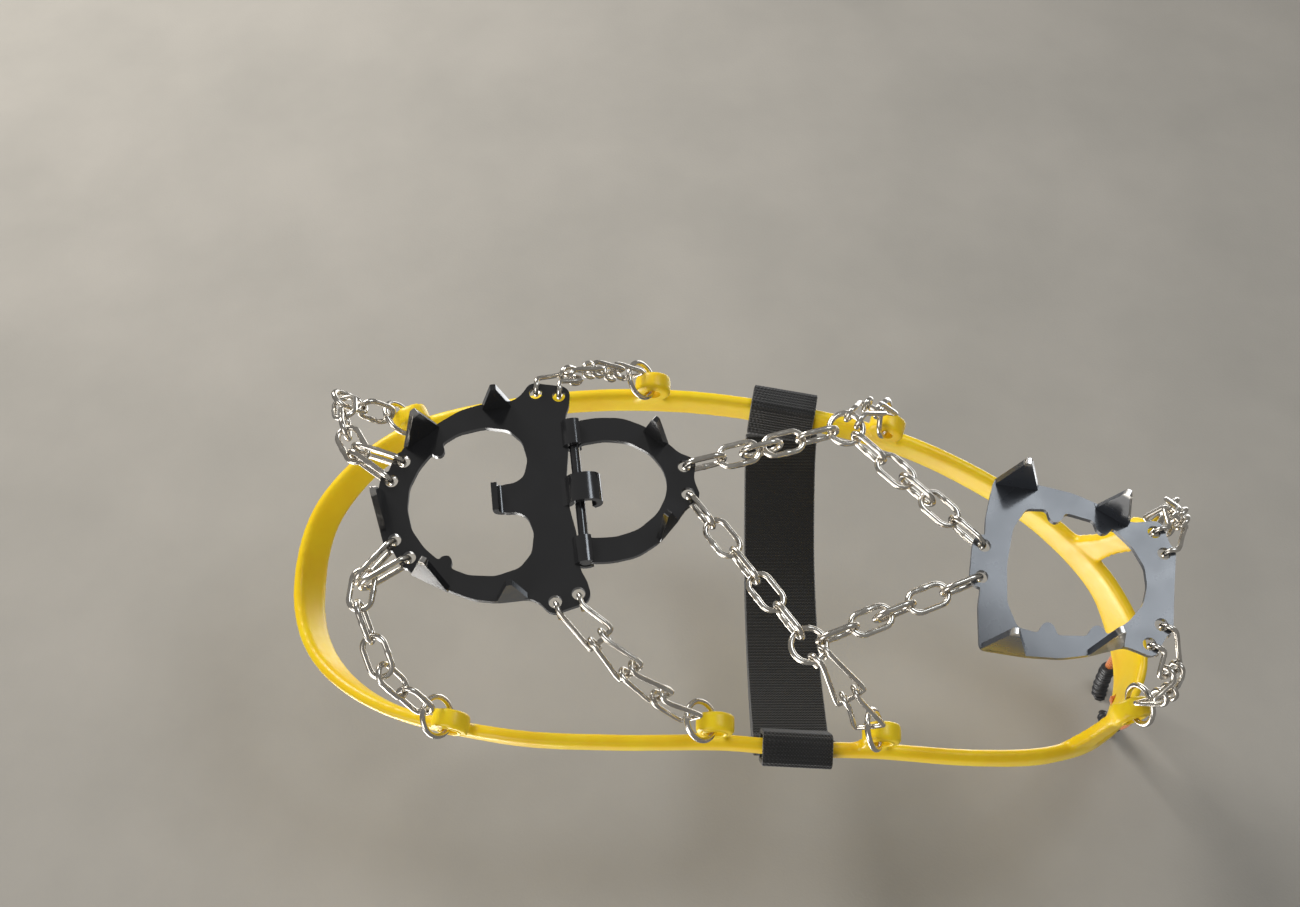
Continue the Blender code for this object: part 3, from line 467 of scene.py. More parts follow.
# ---- plates ------------------------------------------------------------------------
def frame_of(at, yaw):
    """Plate frame: u runs towards the heel, v towards the outer side."""
    u = Vector((-math.sin(yaw), math.cos(yaw), 0.0))
    v = Vector((math.cos(yaw), math.sin(yaw), 0.0))
    return at, u, v


FRONT = frame_of(Vector((9.6, -26.0, PLATE_Z)), math.radians(-6.5))
HEEL = frame_of(Vector((-12.8, 100.8, PLATE_Z)), math.radians(9.5))
FRONT_INNER_HOLE, FRONT_OUTER_HOLE = (-52.3, 9.7), (-48.2, 15.8)
EAR_FRONT_HOLE, EAR_REAR_HOLE = (-6.0, 34.6), (1.1, 32.8)
ARCH_HOLE, HEEL_FRONT_HOLE = (37.3, 4.6), (-1.2, 5.0)
HEEL_OUTER_HOLE, HEEL_REAR_HOLE = (49.0, 17.8), (52.2, 11.3)


def on_plate(plate, u, v):
    at, u_axis, v_axis = plate
    return at + u_axis * u + v_axis * v


def plate_matrix(plate):
    at, u_axis, v_axis = plate
    return placement(at, v_axis, u_axis, UP)


def mirrored(half, radius=1.2):
    """Close a half outline, given as (u, v) with v >= 0, into a full softened one."""
    right = [(v, u) for u, v in half]
    left = [(-v, u) for u, v in reversed(half) if v > 0.01]
    return softened(right + left, radius)


def circle(u, v, radius, sides=36):
    return [(b, a) for a, b in arc((u, v), radius, 0, 360 * (sides - 1) / sides, sides - 1)]


def holes(*places):
    return [circle(u, v * side, HOLE_R) for u, v in places for side in (1, -1)]


def lobe(hole, start, end, steps=10):
    return arc(hole, LOBE_R, start, end, steps)


def add_stud(piece, plate, u, v, heading, base, height):
    """Triangular stud bent down from the plate edge; heading is the edge direction."""
    _, u_axis, v_axis = plate
    along = u_axis * math.cos(math.radians(heading)) + v_axis * math.sin(math.radians(heading))
    outline = [(-base / 2, 0.0), (base / 2, 0.0), (STUD_TIP / 2, height + SHEET / 2),
               (-STUD_TIP / 2, height + SHEET / 2)]
    spot = placement(on_plate(plate, u, v), along, -UP, along.cross(-UP))
    joined(piece, sheet([softened(outline, 0.5)], STRIP, spot))


def rolled_strip(profile, thick, v_middle, width, plate):
    """A sheet strip bent to a side profile of (u, z) points."""
    left, right = [], []
    for k, point in enumerate(profile):
        before, after = profile[max(0, k - 1)], profile[min(len(profile) - 1, k + 1)]
        du, dz = after[0] - before[0], after[1] - before[1]
        size = math.hypot(du, dz)
        left.append((point[0] - dz / size * thick / 2, point[1] + du / size * thick / 2))
        right.append((point[0] + dz / size * thick / 2, point[1] - du / size * thick / 2))
    _, u_axis, _ = plate
    spot = placement(on_plate(plate, 0.0, v_middle), u_axis, UP, u_axis.cross(UP))
    return sheet([left + right[::-1]], width, spot)


def curved(points, samples=6):
    path = smooth_path([Vector((u, z, 0.0)) for u, z in points], samples)
    return [(p.x, p.y) for p in path]


def finish_plate(piece, node, slot, look):
    """Break the sharp edges, which show bare steel."""
    with_modifier(piece, "BEVEL", width=EDGE_BREAK * MM, segments=2, limit_method="ANGLE",
                  angle_limit=math.radians(40), material=1, use_clamp_overlap=True)
    piece.name = f"{node}_formed"
    dress(piece, node, slot, look, BARE, smooth=13.0)


def make_front_plate():
    edge = ([(-56.5, 0.0), (-56.5, 7.0)] + lobe(FRONT_INNER_HOLE, 160, 100, 6)
            + lobe(FRONT_OUTER_HOLE, 170, 100, 6)
            + [(-48.0, 20.6), (-37.0, 27.6), (-30.0, 31.2), (-23.5, 32.6), (-13.5, 32.6), (-10.6, 34.4)]
            + lobe(EAR_FRONT_HOLE, 140, 60) + lobe(EAR_REAR_HOLE, 70, -10)
            + [(4.0, 29.0), (2.4, 25.5), (2.4, 14.0), (1.6, 9.0), (1.0, 5.0), (1.0, 0.0)])
    window = [(-48.0, 0.0), (-47.0, 7.0), (-43.6, 13.2), (-39.6, 17.6), (-38.4, 16.4),
              (-36.4, 16.4), (-35.4, 18.2), (-36.2, 20.6), (-31.0, 23.4), (-23.0, 24.6), (-15.5, 22.8),
              (-11.6, 18.5), (-10.4, 12.0), (-12.0, 6.6), (-15.0, 4.8), (-19.5, 4.6), (-19.5, 0.0)]
    plate = sheet([mirrored(edge, 2.0), mirrored(window, 1.6)]
                  + holes(FRONT_INNER_HOLE, FRONT_OUTER_HOLE, EAR_FRONT_HOLE, EAR_REAR_HOLE),
                  SHEET, plate_matrix(FRONT))
    add_stud(plate, FRONT, -55.6, 0.0, 90, BASE_TALL, STUD_TALL)
    for side in (1, -1):
        add_stud(plate, FRONT, -42.3, 23.7 * side, 32.5 * side, BASE_TALL - 0.8, STUD_TALL)
        add_stud(plate, FRONT, -18.5, 31.7 * side, 0, BASE_SHORT, STUD_SHORT)
        roll = arc((HINGE_U, 0.0), (ROLL_INNER + ROLL_OUTER) / 2, 50, 310, 40)
        joined(plate, rolled_strip(roll, ROLL_OUTER - ROLL_INNER, 19.4 * side, 8.4, FRONT))
    lip = curved([(-18.6, 0.0), (-20.2, -0.5), (-21.0, -1.8), (-21.2, -4.0)])
    joined(plate, rolled_strip(lip, STRIP, 0.0, 9.0, FRONT))
    hook = curved([(-1.0, 0.0), (1.0, -0.9), (2.2, -2.8), (4.0, -4.0), (7.0, -4.2), (9.4, -3.2),
                   (10.4, -1.0), (9.9, 1.2), (8.4, 2.2)])
    joined(plate, rolled_strip(hook, STRIP, 0.0, 9.0, FRONT))
    finish_plate(plate, "front_plate", "black_paint", GLOSS_PAINT)


def make_arch_plate():
    edge = ([(HINGE_U + 0.2, 0.0), (HINGE_U + 0.2, 23.4), (12.0, 24.0), (20.0, 23.0), (27.0, 19.2),
             (33.4, 12.6), (36.0, 9.4)] + lobe(ARCH_HOLE, 70, 0) + [(39.6, 0.0)])
    window = [(HINGE_U + 1.2, 0.0), (HINGE_U + 1.2, 15.6), (14.0, 16.2), (21.0, 14.6), (27.4, 10.0),
              (30.6, 4.6), (31.4, 0.0)]
    plate = sheet([mirrored(edge, 2.6), mirrored(window, 2.2)] + holes(ARCH_HOLE),
                  STRIP, plate_matrix(FRONT))
    for side in (1, -1):
        add_stud(plate, FRONT, 29.7, 15.4 * side, -45 * side, BASE_SHORT - 0.6, STUD_SHORT)
    joined(plate, rod(on_plate(FRONT, HINGE_U, 0.0), FRONT[2], BAR_R, 46.8, 32))
    finish_plate(plate, "arch_plate", "black_paint", GLOSS_PAINT)


def make_heel_plate():
    edge = ([(-4.7, 0.0)] + lobe(HEEL_FRONT_HOLE, 180, 90) + [(-1.5, 14.0), (0.0, 27.4), (14.0, 27.4),
            (24.0, 26.4), (31.5, 24.2), (42.0, 19.6)]
            + lobe(HEEL_OUTER_HOLE, 110, 50, 8) + lobe(HEEL_REAR_HOLE, 60, 0, 8) + [(55.6, 0.0)])
    window = [(6.0, 0.0), (7.0, 12.0), (10.5, 19.0), (16.6, 19.8), (17.6, 16.8), (19.4, 15.8), (21.2, 16.8),
              (22.2, 19.6), (30.8, 18.4), (32.0, 15.4), (33.8, 14.4), (35.6, 15.4), (36.6, 17.0),
              (42.6, 12.0), (46.6, 6.0), (47.6, 0.0)]
    plate = sheet([mirrored(edge, 2.0), mirrored(window, 1.4)]
                  + holes(HEEL_FRONT_HOLE, HEEL_OUTER_HOLE, HEEL_REAR_HOLE), SHEET, plate_matrix(HEEL))
    for side in (1, -1):
        add_stud(plate, HEEL, 7.0, 26.5 * side, 0, BASE_TALL, STUD_TALL)
        add_stud(plate, HEEL, 36.4, 21.2 * side, -24 * side, 11.4, STUD_TALL)
    finish_plate(plate, "heel_plate", "satin_paint", SATIN_PAINT)


# ---- chain -------------------------------------------------------------------------
def welded_loop(name, node, points, weld, wire_size, swell):
    """A closed loop of wire, thicker at its weld."""
    radii = [wire_size / 2 * (1.0 + swell * math.exp(-((p - weld).length / WELD_SPREAD) ** 2))
             for p in points]
    dress(tube(name, points, radii, 12, closed=True), node, "zinc", ZINC)


def round_points(centre, a_axis, b_axis, radius, count):
    points = []
    for k in range(count):
        angle = 2 * math.pi * k / count
        points.append(centre + (a_axis * math.cos(angle) + b_axis * math.sin(angle)) * radius)
    return points


def make_link(name, node, centre, along, across, length=LINK_LENGTH):
    """A welded oval link, with the weld as a bead on one side."""
    end = (LINK_WIDTH - LINK_WIRE) / 2
    straight = (length - LINK_WIRE) / 2 - end
    flat = []
    for turn, x in ((-1, straight), (1, -straight)):
        flat += [(x + end * math.cos(a), end * math.sin(a))
                 for a in (math.radians(90 * turn + 12 * k) for k in range(16))]
        flat += [(x * (1 - k / 5), end * (-turn)) for k in range(1, 10)]
    points = [centre + along * a + across * b for a, b in flat]
    welded_loop(name, node, points, centre + across * end, LINK_WIRE, LINK_WELD)


def make_ring(name, node, centre, a_axis, b_axis, radius, wire_size):
    points = round_points(centre, a_axis, b_axis, radius, 56)
    welded_loop(name, node, points, points[0], wire_size, RING_WELD)


def ladder_unit(node, start, start_across, end, end_across, outward, hook_half, hook_r):
    """One wire unit: two hooks round the last rung, two legs and a rung of its own."""
    along = square_to(start_across, end - start)
    reach = (end - start).dot(along)
    rise = square_to(start_across, outward - along * outward.dot(along))
    drift = end - start - along * reach

    def side_points(side):
        base = start + start_across * hook_half * side
        shape = [(hook_r * 0.95, -hook_r * 0.82), (0.2 * hook_r, -hook_r), (-0.72 * hook_r, -0.72 * hook_r),
                 (-hook_r, 0.0), (-0.72 * hook_r, 0.72 * hook_r), (0.3 * hook_r, hook_r)]
        points = [base + along * a + rise * b for a, b in shape]
        foot = start + drift + along * (reach - 1.4) + end_across * RUNG_HALF * side + rise * 0.25
        points.append(points[-1].lerp(foot, 0.5))
        points.append(foot)
        points.append(end + end_across * (RUNG_HALF - 1.1) * side)
        return points

    path = smooth_path(side_points(-1) + side_points(1)[::-1], 7)
    dress(tube(f"{node}_wire", path, LADDER_WIRE / 2, 12), node, "zinc", ZINC)


def make_ladder(name, start, start_across, edge, end, end_across, count, outward, first_hooks):
    ends = even_points(smooth_path([start, edge, end]), count)
    across = []
    for k in range(count + 1):
        mixed = start_across.lerp(end_across, k / count)
        if 0 < k < count:
            mixed = square_to((ends[k + 1] - ends[k - 1]).normalized(), mixed)
        across.append(mixed.normalized())
    for k in range(count):
        half, radius = first_hooks if k == 0 else (HOOK_HALF, HOOK_R)
        ladder_unit(f"{name}_unit_{k + 1}", ends[k], across[k], ends[k + 1], across[k + 1],
                    outward, half, radius)


def make_strand(begin, end, groups):
    """Oval links in a straight run, turned a quarter from one to the next."""
    along = (end - begin).normalized()
    flat = UP.cross(along)
    tight = sum((count - 1) * LINK_STEP for _, count in groups)
    place = LINK_HALF - HOLE_BITE
    gap = ((end - begin).length - place - (LINK_HALF - WIRE_BITE) - tight) / (len(groups) - 1)
    index = 0
    for node, count in groups:
        for k in range(count):
            across = flat if index % 2 else along.cross(flat)
            make_link(f"{node}_link_{k + 1}", node, begin + along * (place + k * LINK_STEP), along, across)
            index += 1
        place += (count - 1) * LINK_STEP + gap


def lug_frame(name):
    """Centre, outward normal and direction along the band of a lug."""
    centre = LUGS[name]
    nearest = min(range(len(BAND)), key=lambda k: (Vector(BAND[k][0]) - centre).length)
    along = Vector(BAND[(nearest + 1) % len(BAND)][0]) - Vector(BAND[nearest - 1][0])
    along.z = 0.0
    along.normalize()
    outward = along.cross(UP)
    if outward.dot(centre - MIDFOOT) < 0:
        outward.negate()
    return centre, outward, along


def lug_join(name, towards):
    """The ring in a lug, and where the chain's last rung sits in it."""
    centre, outward, along = lug_frame(name)
    down = square_to(outward, towards - centre)
    ring_centre = centre + down * RING_R
    node = f"{name}_lug_ring"
    make_ring(f"{node}_wire", node, ring_centre, down, outward, RING_R, RING_WIRE)
    return ring_centre + down * (RING_R - RING_WIRE / 2 - LADDER_WIRE / 2 - SLIP), along, down


def make_edge_ladder(plate, name, hole_a, hole_b, side, edge, count):
    """A ladder chain from two holes of a plate, over the sole edge, to a lug."""
    a = on_plate(plate, hole_a[0], hole_a[1] * side)
    b = on_plate(plate, hole_b[0], hole_b[1] * side)
    across = (b - a).normalized()
    out = across.cross(UP)
    if out.dot((a + b) / 2 - on_plate(plate, (hole_a[0] + hole_b[0]) / 2, 0.0)) < 0:
        out.negate()
    rung, along, down = lug_join(name, edge)
    if along.dot(across) < 0:
        along.negate()
    make_ladder(name, (a + b) / 2 + out * BAR_OFFSET, across, edge, rung, square_to(down, along), count,
                lug_frame(name)[1] - UP * 0.6, (HOLE_PITCH / 2, PLATE_HOOK_R))


def make_arch_chains(side, word, master, edge, front_groups, rear_groups):
    """The runs to a master ring, and the ladder chain from it to the harness."""
    node = f"{word}_master_ring"
    make_ring(f"{node}_wire", node, master, X_AXIS, Y_AXIS, MASTER_R, LINK_WIRE)
    for plate, hole_at, groups in ((FRONT, ARCH_HOLE, front_groups), (HEEL, HEEL_FRONT_HOLE, rear_groups)):
        hole = on_plate(plate, hole_at[0], hole_at[1] * side)
        way = square_to(UP, master - hole)
        make_strand(hole + way * BAR_OFFSET, master - way * MASTER_R, groups)
    name = f"arch_{word}"
    rung, along, down = lug_join(name, edge)
    way = square_to(UP, edge - master)
    across = UP.cross(way)
    if along.dot(across) < 0:
        along.negate()
    make_ladder(name, master + way * MASTER_R, across, edge, rung, square_to(down, along), 2,
                lug_frame(name)[1] - UP * 0.6, (HOOK_HALF, HOOK_R + 0.3))


def make_toe_chain(side, word, join, corners):
    """Two links through the corner holes, a link that joins them and a single strand."""
    holes_here = [on_plate(FRONT, u, v * side) for u, v in (FRONT_INNER_HOLE, FRONT_OUTER_HOLE)]
    middle = (holes_here[0] + holes_here[1]) / 2
    way = square_to(UP, join - middle)
    spread = UP.cross(way)
    for label, hole in zip(("front", "rear"), holes_here):
        foot = join + spread * 1.35 * (1 if (hole - middle).dot(spread) > 0 else -1)
        along = (foot - hole).normalized()
        begin = hole + along * (BAR_OFFSET - HOLE_BITE)
        end = foot + along * FOLD_BITE
        upright = along.cross(square_to(along, along.cross(UP)))
        node = f"toe_{word}_{label}_hole_link"
        make_link(f"{node}_wire", node, (begin + end) / 2, along, upright, (end - begin).length + LINK_WIRE)
    rung, along_band, _ = lug_join(f"toe_{word}", corners[-1])
    flat = UP.cross(square_to(UP, corners[0] - join))
    if flat.dot(along_band) < 0:
        flat.negate()
    stops = [join - (corners[0] - join).normalized() * (FOLD_START - WIRE_BITE / 2)] + corners + [rung]
    groups = [(f"toe_{word}_fold_link", 1), (f"toe_{word}_strand_a", 2), (f"toe_{word}_strand_b", 2)]
    index = 0
    for turn, ((node, count), begin, end) in enumerate(zip(groups, stops, stops[1:])):
        along = (end - begin).normalized()
        size = 2 * LINK_HALF + (count - 1) * LINK_STEP
        middle = (begin + end) / 2
        if end is rung:
            middle -= along * (size - (end - begin).length) / 2
        lie = square_to(along, flat.lerp(along_band, turn / 2))
        for k in range(count):
            across = along.cross(lie) if index % 2 else lie
            centre = middle + along * LINK_STEP * (k - (count - 1) / 2)
            make_link(f"{node}_wire_{k + 1}", node, centre, along, across)
            index += 1


# ---- harness -----------------------------------------------------------------------
def make_harness():
    """One elastomer moulding: a rounded band, then necks and lugs that blend into it."""
    samples = 12
    places = smooth_path([Vector(p) for p, _, _ in BAND], samples, closed=True)
    shapes = smooth_path([Vector((tilt, width, 0.0)) for _, tilt, width in BAND], samples, closed=True)
    build = bmesh.new()
    rings = []
    count = len(places)
    for k, place in enumerate(places):
        tangent = tangent_at(places, k, True)
        outward = tangent.cross(UP)
        if outward.dot(place - MIDFOOT) < 0:
            outward.negate()
        tilt, width = shapes[k].x, shapes[k].y
        face = square_to(tangent, outward.normalized() + UP * tilt)
        side = tangent.cross(face).normalized()
        ring = []
        for j in range(BAND_SIDES):
            angle = 2 * math.pi * j / BAND_SIDES
            a, b = math.cos(angle), math.sin(angle)
            a = math.copysign(abs(a) ** 0.45, a) * width / 2
            b = math.copysign(abs(b) ** 0.7, b) * BAND_THICK / 2
            ring.append(build.verts.new(place + side * a + face * b))
        rings.append(ring)
    for k in range(count):
        a, b = rings[k], rings[(k + 1) % count]
        for j in range(BAND_SIDES):
            far = (j + 1) % BAND_SIDES
            build.faces.new((a[j], a[far], b[far], b[j]))
    band = piece_from(build, "harness")
    for name in LUGS:
        centre, outward, along = lug_frame(name)
        reach = min(places, key=lambda p: (p - centre).length) - centre
        neck_up = reach.normalized()
        width_dir = square_to(neck_up, along)
        size = reach.length / 2
        outline = [(-4.8, -size), (4.8, -size), (3.8, 0.0), (6.6, size), (-6.6, size), (-3.8, 0.0)]
        spot = placement(centre + reach * 0.5, width_dir, neck_up, width_dir.cross(neck_up))
        joined(band, sheet([softened(outline, 3.0)], NECK_THICK, spot))
        joined(band, rod(centre, outward, LUG_R, LUG_THICK, 40))
    with_modifier(band, "REMESH", mode="VOXEL", voxel_size=VOXEL * MM, adaptivity=0.0)
    with_modifier(band, "SMOOTH", factor=0.5, iterations=7)
    for name in LUGS:
        centre, outward, _ = lug_frame(name)
        joined(band, rod(centre, outward, LUG_HOLE_R, 30.0, 32), "DIFFERENCE")
    for spot in PULL_HOLES.values():
        joined(band, rod(spot, Y_AXIS, PULL_HOLE_R, 30.0, 28), "DIFFERENCE")
    band.name = "harness_moulding"
    dress(band, "harness_band", "elastomer", ELASTOMER, smooth=55.0)
    for name in LUGS:
        centre, outward, _ = lug_frame(name)
        side = outward.orthogonal().normalized()
        face = centre + outward * (LUG_THICK / 2 - 0.25)
        rim = round_points(face, side, outward.cross(side), LUG_HOLE_R + 0.9, 40)
        bead = tube(f"{name}_lug_bead", rim, 0.5, 10, closed=True)
        dress(bead, "harness_band", "elastomer", ELASTOMER, replaces=False)


# ---- webbing -----------------------------------------------------------------------
def band_spot(y, inner):
    """Middle of the band where it crosses Y on one side, and its direction there."""
    places = smooth_path([Vector(p) for p, _, _ in BAND], 24, closed=True)
    side = [k for k, p in enumerate(places) if (p.x < 0) == inner and abs(p.y - y) < 20.0]
    k = min(side, key=lambda k: abs(places[k].y - y))
    along = places[k + 1] - places[k - 1]
    along.z = 0.0
    along.normalize()
    return places[k], along if along.y > 0 else -along


def add_ribbon(build, path, sides, width, thick, closed=False, ribs=True):
    """Webbing along a path; sides gives the direction across it.  Its ribs run across the
    width, its edges are rounded, and its UV map is in millimetres."""
    uv = build.loops.layers.uv.verify()
    dense = []
    count = len(path)
    for k in range(count if closed else count - 1):
        a, b = path[k], path[(k + 1) % count]
        steps = max(1, round((b - a).length / (RIB_PITCH / 4)))
        dense += [a.lerp(b, j / steps) for j in range(steps)]
    if not closed:
        dense.append(path[-1])
    total = len(dense)
    rings, along = [], [0.0]
    for k, place in enumerate(dense):
        tangent = tangent_at(dense, k, closed)
        across = square_to(tangent, sides)
        face = tangent.cross(across)
        wave = RIB_HEIGHT * math.cos(2 * math.pi * along[-1] / RIB_PITCH) if ribs else 0.0
        half, depth = width / 2, thick / 2 + wave - (RIB_HEIGHT if ribs else 0.0)
        ring = []
        for a, b in ((-0.97, 1.0), (-0.5, 1.0), (0.0, 1.0), (0.5, 1.0), (0.97, 1.0), (1.0, 0.0),
                     (0.97, -1.0), (0.5, -1.0), (0.0, -1.0), (-0.5, -1.0), (-0.97, -1.0), (-1.0, 0.0)):
            ring.append(build.verts.new(place + across * half * a + face * depth * b))
        rings.append(ring)
        along.append(along[-1] + (dense[(k + 1) % total] - place).length)
    for k in range(total if closed else total - 1):
        ring = rings[k]
        heights = [(vert.co - ring[0].co).length for vert in ring] + [0.0]
        join_rings(build, uv, ring, rings[(k + 1) % total], 0, along[k:k + 2], heights)
    if not closed:
        build.faces.new(rings[0])
        build.faces.new(rings[-1])


def ribbon(name, path, sides, width, thick, closed=False, ribs=True):
    build = bmesh.new()
    add_ribbon(build, path, sides, width, thick, closed, ribs)
    return piece_from(build, name)


def stitches(name, node, slot, path, lift, pitch=2.4, length=1.5, size=0.22):
    """A row of stitches on a surface, each a short bead of thread."""
    build = bmesh.new()
    count = max(2, round(sum((b - a).length for a, b in zip(path, path[1:])) / pitch))
    spots = even_points(path, count)
    for a, b in zip(spots, spots[1:]):
        way = (b - a).normalized() * length / 2
        middle = (a + b) / 2 + lift
        ends = [middle - way - lift.normalized() * 0.2, middle - way * 0.5, middle + way * 0.5,
                middle + way - lift.normalized() * 0.2]
        add_tube(build, ends, size, 8)
    dress(piece_from(build, name), node, slot, THREAD, replaces=False)


def rounded_loop(width, height, radius, steps=6):
    points = []
    for k, (sx, sy) in enumerate(((1, 1), (-1, 1), (-1, -1), (1, -1))):
        centre = (sx * (width / 2 - radius), sy * (height / 2 - radius))
        points += arc(centre, radius, 90 * k, 90 * k + 90, steps)
    return points


def make_loops_and_ring():
    """Webbing loops round the band, and the buckle ring in the inner one."""
    spots, rises = {}, {}
    for word, lean, extra in (("inner", 0.32, RING_RISE), ("outer", -0.32, 0.0)):
        spot, axis = band_spot(STRAP_Y, word == "inner")
        spots[word] = spot
        rises[word] = Vector((lean, 0.0, 1.0)).normalized()
        rise = square_to(axis, rises[word])
        out = axis.cross(rise)
        tall, wide = LOOP_TALL + extra, BAND_THICK + LOOP_ROOM
        centre = spot + rise * extra / 2
        path = [centre + out * a + rise * b
                for a, b in rounded_loop(wide - LOOP_WALL, tall - LOOP_WALL, 1.9)]
        node = f"{word}_webbing_loop"
        loop = ribbon(f"{node}_ribbed", path, axis, STRAP_WIDTH - 3.0, LOOP_WALL, closed=True)
        dress(loop, node, "webbing", WEBBING, smooth=60.0)
        away = out if out.dot(spot - MIDFOOT) > 0 else -out
        half = STRAP_WIDTH / 2 - 3.2
        level = centre + away * (wide / 2) + rise * (tall / 2 - 4.0)
        for row in (0.0, -2.6):
            line = [level + axis * half * end + rise * row for end in (-1, 1)]
            stitches(f"{node}_seam_{int(-row)}", node, "webbing", line, away * 0.12)
    rise = rises["inner"]
    top = RING_RISE / 2 + (LOOP_TALL + RING_RISE) / 2 - LOOP_WALL
    pin = spots["inner"] + rise * (top - BUCKLE_WIRE / 2 - SLIP)
    half_y, half_z = (STRAP_WIDTH + 5.0) / 2, (RING_SLOT + BUCKLE_WIRE) / 2
    outline = rounded_loop(2 * half_y, 2 * half_z, 2.6)
    corners = [pin + Y_AXIS * a + rise * (half_z + b) for a, b in outline]
    dress(tube("buckle_ring_wire", corners, BUCKLE_WIRE / 2, 18, closed=True), "buckle_ring", "zinc", ZINC)
    return spots["outer"] + rises["outer"] * 10.6, rise, pin + rise * 2 * half_z


def at_strap(path):
    return [Vector((p.x, STRAP_Y, p.z)) for p in path]


def make_webbing():
    outer_start, rise, bar = make_loops_and_ring()
    out = Vector((-rise.z, 0.0, rise.x))
    gap = BUCKLE_WIRE / 2 + STRAP_THICK / 2 + SLIP
    over = [outer_start, Vector((46.0, 0.0, 88.0)), Vector((22.0, 0.0, 101.5)),
            Vector((0.0, 0.0, STRAP_TOP)), Vector((-22.0, 0.0, 99.5)), bar - out * gap + rise]
    turn = [bar + (out * -math.cos(angle) - rise * math.sin(angle)) * gap
            for angle in (math.radians(15 * k) for k in range(13))]
    strap_path = at_strap(smooth_path(over, 16)[:-1] + turn)
    strap = ribbon("instep_strap_ribbed", strap_path, Y_AXIS, STRAP_WIDTH, STRAP_THICK)
    dress(strap, "instep_strap", "webbing", WEBBING, smooth=60.0)
    lift = STRAP_THICK + FLAP_GAP
    begin = bar + out * gap + rise * 0.9
    back = [Vector((-22.0, 0.0, 99.5 + lift)), Vector((0.0, 0.0, STRAP_TOP + lift - 0.2)),
            Vector((12.0, 0.0, 103.4 + lift))]
    flap_path = at_strap(smooth_path([begin, Vector((-40.5, 0.0, 95.4))] + back, 16))
    flap = ribbon("strap_flap_ribbed", flap_path, Y_AXIS, STRAP_WIDTH, STRAP_THICK)
    dress(flap, "strap_flap", "webbing", WEBBING, smooth=60.0)
    top = STRAP_THICK / 2
    for row in (-1, 1):
        shift = Y_AXIS * row * (STRAP_WIDTH / 2 - 1.6)
        stitches(f"strap_flap_seam_{row + 1}", "strap_flap", "webbing", [p + shift for p in flap_path],
                 UP * (top + 0.05))
    tail = flap_path[-1]
    for step in (2.0, 5.0):
        line = [tail + Vector((-step, row * (STRAP_WIDTH / 2 - 2.5), top + 0.12)) for row in (-1, 1)]
        stitches(f"strap_end_seam_{int(step)}", "strap_flap", "webbing", line, UP * 0.1)
    make_patch([p + UP * (STRAP_THICK / 2 + FLAP_GAP) for p in at_strap(smooth_path(back, 12))], Y_AXIS)


def make_patch(path, across):
    """A woven square with a stitched border and a plain diamond, and two bars beside it."""
    half = len(path) * 5 // 9
    square, tape = path[:half], path[half:]
    width = STRAP_WIDTH - 5.0
    cloth = ribbon("label_patch_cloth", square, across, width, LABEL_THICK, ribs=False)
    dress(cloth, "label_patch", "label", LABEL)
    backing = ribbon("label_tape", tape, across, width, TAPE_THICK, ribs=False)
    dress(backing, "label_patch", "label", WEBBING, replaces=False)
    for row in (-1, 1):
        shift = across * row * (width / 2 - 1.0)
        stitches(f"label_border_side_{row + 1}", "label_patch", "label", [p + shift for p in square],
                 UP * 0.42, pitch=1.1, length=0.9, size=0.28)
    for word, place in (("left", square[1]), ("right", square[-2])):
        line = [place + across * row * (width / 2 - 1.0) for row in (-1, 1)]
        stitches(f"label_border_{word}", "label_patch", "label", line, UP * 0.42,
                 pitch=1.1, length=0.9, size=0.28)
    middle = square[len(square) // 2] + UP * 0.5
    slope = (square[-1] - square[0]).normalized()
    tips = ((5.0, 0.0), (0.0, 5.0), (-5.0, 0.0), (0.0, -5.0))
    corners = [middle + slope * a + across * b for a, b in tips]
    ring = [corners[k].lerp(corners[(k + 1) % 4], j / 8) for k in range(4) for j in range(8)]
    dress(tube("label_diamond", ring, 0.75, 8, closed=True), "label_patch", "label", THREAD, replaces=False)
    for k, place in enumerate((0.35, 0.7)):
        spot = tape[int(len(tape) * place)] + UP * 0.25
        bar = [spot + across * 5.5 * t for t in (-1.0, -0.5, 0.0, 0.5, 1.0)]
        dress(tube(f"label_bar_{k + 1}", bar, 0.6, 10), "label_patch", "label", PRINT, replaces=False)


# ---- pull loop ---------------------------------------------------------------------
def add_knot(build, centre, axis, size):
    """An overhand knot: a trefoil drawn tight about the cord."""
    side = axis.orthogonal().normalized()
    other = axis.cross(side)
    points = []
    for k in range(48):
        t = 2 * math.pi * k / 48
        a, b = math.sin(t) + 2 * math.sin(2 * t), math.cos(t) - 2 * math.cos(2 * t)
        points.append(centre + (side * a + other * b) * size * 0.34 - axis * math.sin(3 * t) * size * 0.55)
    add_tube(build, points, PULL_CORD_R * 0.8, 10, closed=True)


